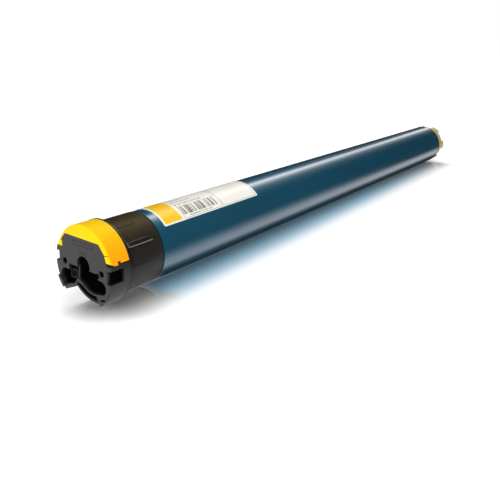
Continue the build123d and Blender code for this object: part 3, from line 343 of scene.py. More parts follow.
# Sizes of the clouds, grain and marks in the finishes, and the depths of their bumps.
CLOUD_SIZE = 14 * MM
HEAD_CLOUD_SIZE = 16 * MM
PAINT_CLOUD_SIZE = 60 * MM
STAIN_SIZE = 6 * MM
MOULD_GRAIN = 0.22 * MM
HEAD_GRAIN = 0.20 * MM
CROWN_GRAIN = 0.18 * MM
COVER_GRAIN = 0.5 * MM
LINING_GRAIN = 0.5 * MM
MARK_SIZE = 0.5 * MM
FLAKE_SIZE = 0.12 * MM
PEEL_SIZE = 1.6 * MM
HIGHLIGHT_BREAK_SIZE = 1.2 * MM
FIBRE_SIZE = 0.35 * MM
INK_WEAR_SIZE = 0.5 * MM
DASH_SIZE = 0.42 * MM
MOULD_DEPTH = 0.012 * MM
CROWN_DEPTH = 0.008 * MM
COVER_DEPTH = 0.003 * MM
LINING_DEPTH = 0.05 * MM
MARK_DEPTH = 0.004 * MM
PEEL_DEPTH = 0.0015 * MM
FIBRE_DEPTH = 0.002 * MM

# Detail and roughness of the noise, and the levels between which most of it lies.
CLOUDS = (3.0, 0.55)
GRAIN = (2.0, 0.6)
MARKS = (3.0, 0.6)
MIDDLE = (0.3, 0.7)
SKIN_LEVELS = (0.45, 1.05)


def toned(finish, value, levels, tint, darker, lighter):
    """Colour that turns from a darker to a lighter tone as a value crosses two levels."""
    return finish.mix(finish.step(value, *levels), shade(tint, darker), shade(tint, lighter))


def moulded_skin(finish, grain, roughness, depth, cloud_size=CLOUD_SIZE):
    """Skin of a dull moulding: soft clouds, fine eroded grain, its uneven roughness and its bump."""
    cloud = finish.noise(cloud_size, *CLOUDS)
    fine = finish.noise(grain, *GRAIN)
    rough = finish.step(cloud + fine * 0.5, *SKIN_LEVELS, *roughness)
    return cloud, fine, rough, finish.bump(fine, depth, 0.7)


def moulded(name, tint, roughness, grain=MOULD_GRAIN, depth=MOULD_DEPTH, coat=0.0):
    """Moulded plastic: fine eroded grain, cloudy tone and a slightly uneven gloss."""
    finish = Finish(name)
    cloud, _, rough, normal = moulded_skin(
        finish, grain, (roughness - 0.05, roughness + 0.07), depth)
    return finish.surface(
        Base_Color=toned(finish, cloud, MIDDLE, tint, 0.90, 1.10), Roughness=rough, Normal=normal,
        Coat_Weight=coat, Coat_Roughness=0.12)


def metal(name, tint, roughness, stretch=(1.0, 1.0, 1.0), metallic=1.0):
    """Metal: tool marks along one direction, cloudy stain and an uneven gloss."""
    finish = Finish(name)
    marks = finish.noise(MARK_SIZE, *MARKS, stretch)
    cloud = finish.noise(STAIN_SIZE, *CLOUDS)
    return finish.surface(
        Base_Color=toned(finish, cloud + marks * 0.4, (0.4, 1.0), tint, 0.88, 1.12),
        Metallic=metallic, Roughness=finish.step(marks, *MIDDLE, roughness - 0.07, roughness + 0.09),
        Normal=finish.bump(marks, MARK_DEPTH, 0.6))


def painted_tube(name, tint):
    """Glossy metallic paint: tiny flakes under a clear coat with a faint orange peel."""
    finish = Finish(name)
    flakes = finish.noise(FLAKE_SIZE, 1.0, 0.5)
    peel = finish.noise(PEEL_SIZE, 2.0, 0.5, (0.35, 1.0, 1.0))
    cloud = finish.noise(PAINT_CLOUD_SIZE, 2.0, 0.5)
    return finish.surface(
        Base_Color=toned(finish, flakes + cloud * 0.3, (0.35, 0.95), tint, 0.88, 1.18),
        Metallic=0.25, Roughness=finish.step(flakes, *MIDDLE, 0.30, 0.42),
        Normal=finish.bump(peel, PEEL_DEPTH, 0.5), Coat_Weight=1.0, Coat_Roughness=0.055,
        Coat_IOR=1.85)


# Places on the head in mm and degrees: the cover's seat with its leaning flanks and its feet, the
# screw holes, the depths at which painted shade darkens a recess, the flange, which is painted black
# as shade, and the painted highlight on its edge.
SEAT_TOP = 17.70
SEAT_CORNER = 15.5
SEAT_FLANK = (0.75, 0.66)
SEAT_EDGE = (-0.5, -0.2)
FOOT_SIDE = 19.6
FOOT_BOTTOM = 4.6
SCREW_SIDE = 17.0
SCREW_EDGE = (1.5, 2.1)
SCREW_MOUTH = (0.05, 0.3)
SCREW_HOLE_SHADE = 3.0
SHADE_DEPTHS = (0.25, 2.4)
ROUND_MARGIN = 0.2
FLANGE_FRONT = (13.1, 13.5)
FLANGE_EDGE = (14.45, 14.95)
FLANGE_HIGHLIGHT_TURN = (37, 84)
FLANGE_RIM = (24.6, 25.2)


def cover_seat(finish, side, up):
    """Above 0 where the cover sits on the head, and below 0 elsewhere."""
    rise = up - SEAT_TOP
    seat = finish.largest(rise, (side - SEAT_CORNER) * SEAT_FLANK[0] + rise * SEAT_FLANK[1])
    return finish.largest(seat, finish.smallest(side - FOOT_SIDE, up - FOOT_BOTTOM))


def head_plastic(name, tints):
    """Head's moulding: eroded grain, near-black painted shade in its recesses and screw holes, its flange,
    journal and plug painted black as shade, and a painted highlight on the flange's edge.
    """
    finish = Finish(name)
    x, away, turn = finish.round_axis()
    _, y, up = finish.here()
    side = abs(y)
    cloud, _, rough, normal = moulded_skin(
        finish, HEAD_GRAIN, (0.34, 0.48), MOULD_DEPTH, HEAD_CLOUD_SIZE)
    base = toned(finish, cloud, MIDDLE, tints.head, 0.92, 1.10)
    # Painted shade: recesses and screw holes turn near-black deeper in from the outer skin, but not on the
    # cover's seat.
    shade_depth = finish.smallest(x, HEAD_HIGH.z / MM - ROUND_MARGIN - away)
    shade_depth = shade_depth * finish.step(cover_seat(finish, side, up), *SEAT_EDGE, 1.0, 0.0)
    screw_hole_shade = finish.step(finish.distance(side - SCREW_SIDE, up), *SCREW_EDGE, SCREW_HOLE_SHADE, 0.0)
    shade_depth = finish.largest(shade_depth, screw_hole_shade * finish.step(x, *SCREW_MOUTH))
    # Behind FLANGE_FRONT the moulding is painted black as shade on the flange, journal and plug.
    base = finish.mix(finish.step(x, *FLANGE_FRONT), base, tints.flange)
    # Painted highlight along the flange's edge.
    highlit = finish.band(x, *FLANGE_EDGE, 0.08) * finish.band(turn, *FLANGE_HIGHLIGHT_TURN, 3.0)
    base = finish.mix(highlit * finish.step(away, *FLANGE_RIM), base, tints.worn_edge)
    return finish.with_painted_shade(
        finish.step(shade_depth, *SHADE_DEPTHS), tints.hollow,
        Base_Color=base, Roughness=rough, Normal=normal)


# Turns on the crown in degrees above its near side, where its partly painted light changes tone, and
# painted highlights on the edges of its key: each is limits and softness round the axis in degrees,
# limits and softness along it in mm, and how light it is.
CROWN_FOOT_TURN = (-22, 12)
CROWN_TOP_TURN = (20, 75)
KEY_HIGHLIGHTS = [
    ((29.6, 30.5, 0.25), (16.2, 33.8, 0.3), 1.0),
    ((30.0, 37.5, 0.4), (16.1, 16.6, 0.1), 1.0),
    ((36.6, 37.3, 0.25), (17.0, 31.0, 0.3), 0.3)]


def crown_plastic(name, tints):
    """Crown's moulding: satin, brownish above and grey below, partly its own tone and partly painted light,
    with painted highlights on the edges of its key.
    """
    finish = Finish(name)
    x, _, turn = finish.round_axis()
    cloud, fine, rough, normal = moulded_skin(finish, CROWN_GRAIN, (0.44, 0.56), CROWN_DEPTH)
    # Tone by side, partly the crown's own colour and partly painted light: the lighter lower side is a
    # painted floor reflection.
    base = finish.mix(finish.step(turn, *CROWN_FOOT_TURN), tints.crown_underside_painted_reflection, tints.crown_low)
    base = finish.mix(finish.step(turn, *CROWN_TOP_TURN), base, tints.crown)
    # Random dark mottle in the flange's colour.
    base = finish.mix(finish.step(cloud + fine * 0.6, 0.5, 1.1, 0.4, 0.0), base, tints.flange)
    # Painted highlights along the key's edges, broken up by noise.
    highlit = reduce(finish.largest, [
        finish.band(turn, *around) * finish.band(x, *along) * light
        for around, along, light in KEY_HIGHLIGHTS])
    patchy = finish.step(finish.noise(HIGHLIGHT_BREAK_SIZE, *GRAIN), 0.3, 0.6, 0.65, 1.0)
    return finish.surface(
        Base_Color=finish.mix(highlit * patchy, base, tints.worn_edge), Roughness=rough,
        Specular_IOR_Level=0.26, Specular_Tint=(1.0, 0.78, 0.50), Normal=normal)


# Places on the cover: its crest and how far from it the painted shade deepens the yellow, in degrees,
# and the depth behind its face at which that starts, in mm.
COVER_CREST = 90.0
COVER_FLANK = (15, 68)
COVER_FACE = (0.4, 2.2)


def cover_plastic(name, tints):
    """Cover's moulding: dry yellow, with painted shade that deepens it towards the lower flanks."""
    finish = Finish(name)
    x, _, turn = finish.round_axis()
    fine = finish.noise(COVER_GRAIN, *GRAIN)
    # Painted shade away from the crest and behind the face.
    flank_shade = finish.step(abs(turn - COVER_CREST), *COVER_FLANK) * finish.step(x, *COVER_FACE)
    return finish.surface(
        Base_Color=finish.mix(flank_shade, tints.cover, tints.cover_flank_shade),
        Roughness=finish.step(fine, *MIDDLE, 0.40, 0.48), Specular_IOR_Level=0.12,
        Normal=finish.bump(fine, COVER_DEPTH, 0.5))


# Print on the label in mm, from its head end and from its lower edge. A bar is its left edge and its
# width, and a row of dashes its left and right ends, its lower edge and its height.
BORDER_SIDE = 0.9
BORDER_EDGE = 0.8
HALO_RUN = (1.1, 16.3)
HALO_MARGIN = 0.9
PANEL_RUN = (1.5, 15.4)
PANEL_MARGIN = 1.3
LEFT_FRAME_RUN = (18.0, 54.0)
RIGHT_FRAME_START = 55.0
RIGHT_FRAME_MARGIN = 1.7
FRAME_BOTTOM = 0.7
FRAME_TOP_MARGIN = 1.0
LOW_FRAME_TOP = 12.3
FRAME_LINE = 0.34
BARS = [
    (18.9, 0.7), (20.5, 1.3), (23.6, 0.8), (24.8, 2.2), (27.6, 0.8), (29.8, 0.8), (33.0, 1.2),
    (34.7, 0.9), (36.2, 0.6), (37.3, 1.9), (42.3, 0.6), (43.5, 0.7), (45.9, 1.7), (49.4, 0.5),
    (50.4, 0.5)]
BAR_HEIGHTS = (3.7, 11.6)
WASH_RUN = (18.8, 51.0)
DASH_ROWS = [
    (18.6, 42.5, 13.5, 1.2), (18.6, 35.0, 17.0, 0.9), (23.0, 45.0, 2.0, 0.7),
    (18.6, 30.0, 20.4, 0.8)]
DASH_STRETCH = (1.0, 0.02, 0.02)


def printed_label(name, tints, wide, tall):
    """Printed label: border, coloured panel, bars, dashes for small print and thin frame lines."""
    finish = Finish(name)
    wide, tall = wide / MM, tall / MM
    across, up, _ = finish.parts(finish.node("ShaderNodeUVMap"))
    across, up = across * wide, up * tall

    def patch(run, low, high, soft):
        """1 inside a rectangle of the sheet and 0 outside it."""
        return finish.band(across, *run, soft) * finish.band(up, low, high, soft)

    def frame_line(run, low, high):
        """Thin line along the inside of a rectangle."""
        inside = (run[0] + FRAME_LINE, run[1] - FRAME_LINE)
        return patch(run, low, high, 0.05) - patch(inside, low + FRAME_LINE, high - FRAME_LINE, 0.05)

    fibre = finish.noise(FIBRE_SIZE, 4.0, 0.6)
    paper = toned(finish, fibre, (0.25, 0.75), tints.label, 0.97, 1.02)
    inside = patch((BORDER_SIDE, wide - BORDER_SIDE), BORDER_EDGE, tall - BORDER_EDGE, 0.12)
    base = finish.mix(inside, tints.label_border, paper)
    base = finish.mix(patch(HALO_RUN, HALO_MARGIN, tall - HALO_MARGIN, 0.3), base, tints.label_halo)
    base = finish.mix(
        patch(PANEL_RUN, PANEL_MARGIN, tall - PANEL_MARGIN, 0.15), base, tints.label_panel)

    frame_top = tall - FRAME_TOP_MARGIN
    lines = reduce(finish.largest, [
        frame_line(LEFT_FRAME_RUN, FRAME_BOTTOM, LOW_FRAME_TOP),
        frame_line(LEFT_FRAME_RUN, FRAME_BOTTOM, frame_top),
        frame_line((RIGHT_FRAME_START, wide - RIGHT_FRAME_MARGIN), FRAME_BOTTOM, frame_top)])
    base = finish.mix(lines * 0.72, base, tints.label_ink)

    wash = finish.band(across, *WASH_RUN, 0.3) * 0.22
    bars = reduce(finish.largest, [
        finish.band(across, left, left + width, 0.05) for left, width in BARS], wash)
    wear = finish.step(finish.noise(INK_WEAR_SIZE, *GRAIN), 0.25, 0.6, 0.75, 0.98)
    base = finish.mix(bars * finish.band(up, *BAR_HEIGHTS, 0.08) * wear, base, tints.label_ink)

    rows = reduce(finish.largest, [
        patch((left, right), low, low + height, 0.12) for left, right, low, height in DASH_ROWS])
    broken = finish.step(finish.noise(DASH_SIZE, 1.0, 0.5, DASH_STRETCH), 0.40, 0.52)
    base = finish.mix(rows * broken * 0.85, base, tints.label_ink)
    return finish.surface(
        Base_Color=base, Roughness=finish.step(fibre, 0.2, 0.8, 0.34, 0.44),
        Normal=finish.bump(fibre, FIBRE_DEPTH, 0.4), Coat_Weight=0.25, Coat_Roughness=0.2)


def select_only(piece):
    """Deselect everything, then select one piece and make it active."""
    bpy.ops.object.select_all(action="DESELECT")
    piece.select_set(True)
    bpy.context.view_layer.objects.active = piece


def apply_modifier(piece, kind, **settings):
    """Add a modifier with its settings and apply it."""
    select_only(piece)
    modifier = piece.modifiers.new(kind.title(), kind)
    for key, value in settings.items():
        setattr(modifier, key, value)
    bpy.ops.object.modifier_apply(modifier=modifier.name)


def smooth(piece, angle):
    """Smooth shading with sharp edges above an angle, flat faces weighted."""
    select_only(piece)
    bpy.ops.object.shade_smooth_by_angle(angle=angle)
    apply_modifier(piece, "WEIGHTED_NORMAL", keep_sharp=True, weight=FACE_WEIGHT)


def finished(piece, finish, node):
    """Give a piece its material, and the node that it stands for and rides like."""
    piece.data.materials.clear()
    piece.data.materials.append(finish)
    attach(piece, frame["nodes"][node]["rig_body"])
    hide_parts(node)


def node_slot(node):
    """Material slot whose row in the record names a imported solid.

    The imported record's rows name no solids, so this gives None for each of them.
    """
    for row in frame["record"]["materials"]:
        if node in row.get("nodes", []):
            return row["slot"]
    return None


def shell_of(node):
    """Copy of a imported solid's mesh with its seams merged and its flat faces joined."""
    piece = bpy.data.objects.new(node + "_shell", frame["nodes"][node].data.copy())
    bpy.context.scene.collection.objects.link(piece)
    select_only(piece)
    bpy.ops.object.mode_set(mode="EDIT")
    bpy.ops.mesh.select_all(action="SELECT")
    bpy.ops.mesh.remove_doubles(threshold=MERGE_DISTANCE)
    bpy.ops.mesh.dissolve_limited(angle_limit=FLAT_ANGLE)
    bpy.ops.mesh.select_all(action="SELECT")
    bpy.ops.mesh.vert_connect_concave()
    bpy.ops.object.mode_set(mode="OBJECT")
    return piece


def rounded_copy(node, finish, edge, segments=2):
    """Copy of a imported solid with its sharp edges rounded, standing for it."""
    piece = shell_of(node)
    apply_modifier(
        piece, "BEVEL", width=edge, segments=segments, limit_method="ANGLE",
        angle_limit=SHARP_ANGLE, use_clamp_overlap=True, miter_outer="MITER_ARC")
    smooth(piece, SMOOTH_ANGLE)
    finished(piece, finish, node)


def dress(node, finish):
    """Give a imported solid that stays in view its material."""
    made = frame["nodes"][node]
    if not made.material_slots:
        made.data.materials.append(finish)
    for slot in made.material_slots:
        slot.material = finish


def lathe(name, profile, sides):
    """Turned piece round the X axis: a circle extruded and resized from point to point.

    Points are (place along the axis, radius). A closed profile repeats its first point.
    """
    (start, radius), *rest = profile
    bpy.ops.object.select_all(action="DESELECT")
    bpy.ops.mesh.primitive_circle_add(
        vertices=sides, radius=radius, fill_type="NOTHING", location=(start, 0, 0),
        rotation=(0, pi / 2, 0))
    piece = bpy.context.object
    piece.name = name
    bpy.ops.object.transform_apply(location=True, rotation=True, scale=True)
    bpy.ops.object.mode_set(mode="EDIT")
    bpy.ops.mesh.select_all(action="SELECT")
    at, was = start, radius
    for place, radius in rest:
        bpy.ops.mesh.extrude_region_move(TRANSFORM_OT_translate={"value": (place - at, 0, 0)})
        if abs(radius - was) > SAME_RADIUS:
            share = radius / was
            bpy.ops.transform.resize(value=(1, share, share), center_override=(place, 0, 0))
        at, was = place, radius
    bpy.ops.mesh.select_all(action="SELECT")
    bpy.ops.mesh.remove_doubles(threshold=MERGE_DISTANCE)
    bpy.ops.mesh.select_all(action="SELECT")
    bpy.ops.mesh.normals_make_consistent(inside=False)
    bpy.ops.object.mode_set(mode="OBJECT")
    return piece


class BLINDMOTOR_OT_head(bpy.types.Operator):
    """Make the head's moulding with its power inlet and contact pins."""

    bl_idname = "blindmotor.head"
    bl_label = "Head"

    def execute(self, context):
        sizes, tints = context.scene.blind_motor_sizes, context.scene.blind_motor_colours
        rounded_copy("head_body", head_plastic("head_plastic", tints), sizes.moulding_edge)
        rounded_copy("inlet_socket", moulded("inlet_plastic", tints.inlet, 0.85), sizes.crown_edge)
        rounded_copy("inlet_pins", metal("pin_brass", tints.brass, 0.25), sizes.metal_edge)
        return {"FINISHED"}


class BLINDMOTOR_OT_cover(bpy.types.Operator):
    """Make the yellow cover, the set buttons under it and their rubber pads."""

    bl_idname = "blindmotor.cover"
    bl_label = "Cover and set buttons"

    def execute(self, context):
        sizes, tints = context.scene.blind_motor_sizes, context.scene.blind_motor_colours
        rounded_copy("button_cover", cover_plastic("cover_yellow", tints), sizes.cover_edge, 3)
        white = moulded("button_white", tints.button, 0.35)
        for node in ("set_button_near", "set_button_far"):
            rounded_copy(node, white, sizes.crown_edge)
        rounded_copy("button_pads", moulded("pad_rubber", tints.rubber, 0.6), sizes.metal_edge)
        return {"FINISHED"}


class BLINDMOTOR_OT_crown(bpy.types.Operator):
    """Make the turning crown with its raised key and grooves."""

    bl_idname = "blindmotor.crown"
    bl_label = "Crown"

    def execute(self, context):
        sizes, tints = context.scene.blind_motor_sizes, context.scene.blind_motor_colours
        rounded_copy("crown", crown_plastic("crown_plastic", tints), sizes.crown_edge)
        return {"FINISHED"}


class BLINDMOTOR_OT_tube(bpy.types.Operator):
    """Make the long painted tube with rolled ends, and its rivets."""

    bl_idname = "blindmotor.tube"
    bl_label = "Tube and rivets"

    def execute(self, context):
        sizes, tints = context.scene.blind_motor_sizes, context.scene.blind_motor_colours
        front, back = TUBE_LOW.x, TUBE_HIGH.x
        outer, inner, lip = sizes.tube_radius, sizes.tube_radius - sizes.tube_wall, sizes.tube_lip
        turn = 1 - sqrt(0.5)
        start, straight = front + lip, back - front - 2 * lip
        run = [(start + straight * step / TUBE_STATIONS, outer) for step in range(TUBE_STATIONS)]
        run += [
            (back - lip, outer), (back - lip * turn, outer - lip * turn), (back, outer - lip),
            (back, inner + lip), (back - lip * turn, inner + lip * turn), (back - lip, inner),
            (front + lip, inner), (front + lip * turn, inner + lip * turn), (front, inner + lip),
            (front, outer - lip), (front + lip * turn, outer - lip * turn), (front + lip, outer)]
        tube = lathe("motor_tube_shell", run, sizes.round_steps)
        smooth(tube, ROUND_SMOOTH_ANGLE)
        finished(tube, painted_tube("tube_paint", tints.tube), "motor_tube")
        rounded_copy("tube_rivets", metal("rivet_steel", tints.steel, 0.3), sizes.metal_edge)
        return {"FINISHED"}


class BLINDMOTOR_OT_label(bpy.types.Operator):
    """Make the printed label that is wrapped on the tube."""

    bl_idname = "blindmotor.label"
    bl_label = "Label"

    def execute(self, context):
        sizes, tints = context.scene.blind_motor_sizes, context.scene.blind_motor_colours
        wide = LABEL_HIGH.x - LABEL_LOW.x
        outer = LABEL_HIGH.z
        low, high = sizes.label_low, sizes.label_high
        tall = (high - low) * outer
        bpy.ops.object.select_all(action="DESELECT")
        bpy.ops.mesh.primitive_plane_add(size=1)
        label = context.object
        label.name = "rating_label_sheet"
        label.scale = (wide, tall, 1)
        bpy.ops.object.transform_apply(location=True, rotation=True, scale=True)
        bpy.ops.object.mode_set(mode="EDIT")
        bpy.ops.mesh.select_all(action="SELECT")
        bpy.ops.mesh.bevel(
            offset=sizes.label_corner, segments=LABEL_CORNER_STEPS, affect="VERTICES",
            clamp_overlap=True)
        for step in range(1, LABEL_STEPS):
            bpy.ops.mesh.select_all(action="SELECT")
            bpy.ops.mesh.bisect(
                plane_co=(0, tall * (step / LABEL_STEPS - 0.5), 0), plane_no=(0, 1, 0),
                threshold=CUT_THRESHOLD)
        bpy.ops.object.mode_set(mode="OBJECT")
        mesh = bmesh.new()
        mesh.from_mesh(label.data)
        layer = mesh.loops.layers.uv.verify()
        for face in mesh.faces:
            for corner in face.loops:
                corner[layer].uv = (corner.vert.co.x / wide + 0.5, corner.vert.co.y / tall + 0.5)
        for point in mesh.verts:
            turn = low + (point.co.y / tall + 0.5) * (high - low)
            point.co = (
                LABEL_LOW.x + point.co.x + wide / 2, -outer * cos(turn), outer * sin(turn))
        mesh.to_mesh(label.data)
        mesh.free()
        apply_modifier(label, "SOLIDIFY", thickness=sizes.label_thickness, offset=-1.0)
        smooth(label, ROUND_SMOOTH_ANGLE)
        paper = printed_label("label_paper", tints, wide, tall)
        finished(label, paper, "rating_label")
        return {"FINISHED"}


class BLINDMOTOR_OT_output(bpy.types.Operator):
    """Make the end cap, the lugged output drive and its clip."""

    bl_idname = "blindmotor.output"
    bl_label = "Output end"

    def execute(self, context):
        sizes, tints = context.scene.blind_motor_sizes, context.scene.blind_motor_colours
        rounded_copy("end_cap", moulded("cap_plastic", tints.cap, 0.4), sizes.crown_edge)
        rounded_copy(
            "output_drive", metal("drive_gold", tints.drive, 0.42, metallic=0.4),
            sizes.moulding_edge, 3)
        rounded_copy("output_clip", metal("clip_steel", tints.steel, 0.25), sizes.metal_edge)
        return {"FINISHED"}


class BLINDMOTOR_OT_inner(bpy.types.Operator):
    """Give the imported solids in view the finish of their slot; node_slot finds none, so none is given."""

    bl_idname = "blindmotor.inner"
    bl_label = "Inner pieces"

    def execute(self, context):
        tints = context.scene.blind_motor_colours
        turned_marks = (6.0, 0.4, 0.4)
        wound_marks = (0.2, 3.0, 3.0)
        stacked_marks = (14.0, 0.2, 0.2)
        finishes = {
            "nylon_natural": moulded("nylon_natural", tints.nylon, 0.4),
            "screw_steel": metal("screw_steel", tints.steel, 0.25, turned_marks),
            "switch_black": moulded("switch_black", tints.black, 0.4),
            "capacitor_case": moulded("capacitor_case", tints.can, 0.28, coat=0.2),
            "wire_insulation": moulded("wire_insulation", tints.wire, 0.4),
            "cast_alloy": metal("cast_alloy", tints.alloy, 0.45),
            "coil_copper": metal("coil_copper", tints.copper, 0.3, wound_marks),
            "spring_steel": metal("spring_steel", tints.steel, 0.2),
            "core_steel": metal("core_steel", tints.lamination, 0.4, stacked_marks),
            "lining_fibre": moulded("lining_fibre", tints.lining, 0.7, LINING_GRAIN, LINING_DEPTH),
            "bearing_steel": metal("bearing_steel", tints.steel, 0.16, turned_marks),
            "gear_steel": metal("gear_steel", tints.steel, 0.28),
            "bush_bronze": metal("bush_bronze", tints.bronze, 0.35, turned_marks),
            "cap_plastic": moulded("inner_cap_plastic", tints.cap, 0.4),
        }
        for node, made in frame["nodes"].items():
            slot = node_slot(node)
            if not made.hide_render and slot in finishes:
                dress(node, finishes[slot])
        return {"FINISHED"}


def turned_by(point, angle):
    """Point turned back about the X axis, from the floor's frame to the motor's."""
    x, y, z = point
    return Vector((x, y * cos(angle) + z * sin(angle), -y * sin(angle) + z * cos(angle)))


# Camera, in the floor's frame. The motor is rolled by ROLL about its axis in that frame.
ROLL = radians(4.4)
CAMERA_PLACE = (-187.91 * MM, -290.68 * MM, 118.09 * MM)
CAMERA_YAW = radians(31.340)
CAMERA_PITCH = radians(9.801)
CAMERA_TILT = radians(-1.196)
CAMERA_LENS = 40.206
CAMERA_SENSOR = 36
CAMERA_SHIFT = (-0.17417, -0.19206)
CAMERA_CLIP = (0.01, 60)

# Curved card that only reflections see: its radius, where it starts along the motor, its length in
# metres, its limits and levels by degrees above the near side, and how its pattern leans and fades
# along the motor, whose places are in mm.
CARD_RADIUS = 100 * MM
CARD_START = -12 * MM
CARD_LENGTH = 1.2
CARD_STEPS = 48
CARD_LOW, CARD_HIGH = -14.6, 170.0
CARD_LEVELS = [
    (-14.6, 0.010), (-6.0, 0.002), (42.0, 0.001), (50.0, 0.004), (60.5, 0.018), (71.0, 0.056),
    (82.0, 0.18), (92.7, 0.64), (98.0, 1.06), (103.0, 1.06), (108.0, 0.50), (114.0, 0.10),
    (120.0, 0.025), (137.0, 0.004), (170.0, 0.001)]
CARD_STRENGTH = 3.24
CARD_SKEW = 0.026
CARD_SKEW_FROM = 290.0
CARD_FADE_RUN = (160.0, 520.0)
CARD_FADE = 0.4074

# Floor: where the head's flange rests on it, and its painted shadow and painted blue reflection near
# the motor. Places are in mm along the motor, from its axis sideways, or away from the strip that
# mirrors it.
FLOOR_WIDTH = 24
FLOOR_GAP = 0.02 * MM
FLANGE_REST = 14.1 * MM
FLOOR_TONE = (0.87, 0.87, 0.87)
FLOOR_PAINTED_SHADOW = (0.52, 0.52, 0.51)
FLOOR_PAINTED_REFLECTION = (0.42, 0.70, 0.88)
FLOOR_GLOW = 0.6
PAINTED_SHADE_REACH = (14.0, 50.0)
BLUE_START = (22.0, 30.0)
BLUE_FADE_RUN = (280.0, 500.0)
BLUE_AT_END = 0.25
MIRROR_RUN = (4.0, 486.0)
MIRROR_FADES = (1.35, 2.4)
MIRROR_REACH = 60.0
MIRROR_SHARE = 0.84
MIRROR_ROUGHNESS = (0.05, 0.2)

# Floor as reflections see it, painted light that glows: levels by place from the axis sideways, dark
# under the motor as painted shadow, one level before the crown, and a stretch that darkens outwards
# and towards the output.
FLOOR_LEVEL_RUN = (-200.0, 40.0)
FLOOR_LEVELS = [
    (-200.0, 0.01), (-100.0, 0.03), (-85.0, 0.07), (-64.0, 0.24), (-47.0, 0.62), (-38.0, 0.92),
    (-29.0, 1.0), (-25.0, 0.80), (-20.5, 0.16), (-17.0, 0.02), (17.0, 0.02), (20.5, 0.16),
    (29.0, 1.0)]
HEAD_LEVEL = (0.74, 0.74, 0.75)
HEAD_LEVEL_END = (26.0, 38.0)
OUTER_SIDE = (-60.0, -26.0)
OUTER_RUN = (180.0, 520.0)

# World's light on matt surfaces, and lamps: name, place, width and height in metres, and watts.
WORLD_LIGHT = 0.62
LAMP_TARGET = (0.05, 0, 0)
LAMPS = [
    ("key", (-0.95, -0.35, 0.55), 0.7, 0.7, 9.0),
    ("side", (0.15, -1.1, 0.75), 1.2, 0.6, 1.5)]
BLACK, WHITE = (0, 0, 0), (1, 1, 1)


def camera_axes():
    """Right, up and forward directions of the camera in the floor's frame."""
    forward = Vector((
        cos(CAMERA_YAW) * cos(CAMERA_PITCH), sin(CAMERA_YAW) * cos(CAMERA_PITCH),
        -sin(CAMERA_PITCH)))
    level = Vector((sin(CAMERA_YAW), -cos(CAMERA_YAW), 0))
    upward = level.cross(forward)
    right = level * cos(CAMERA_TILT) + upward * sin(CAMERA_TILT)
    up = upward * cos(CAMERA_TILT) - level * sin(CAMERA_TILT)
    return right, up, forward


def standing(place, first, second, third):
    """Matrix that puts an object at a place with its axes along three directions."""
    turned = Matrix((first, second, third)).transposed()
    return Matrix.Translation(place) @ turned.to_4x4()


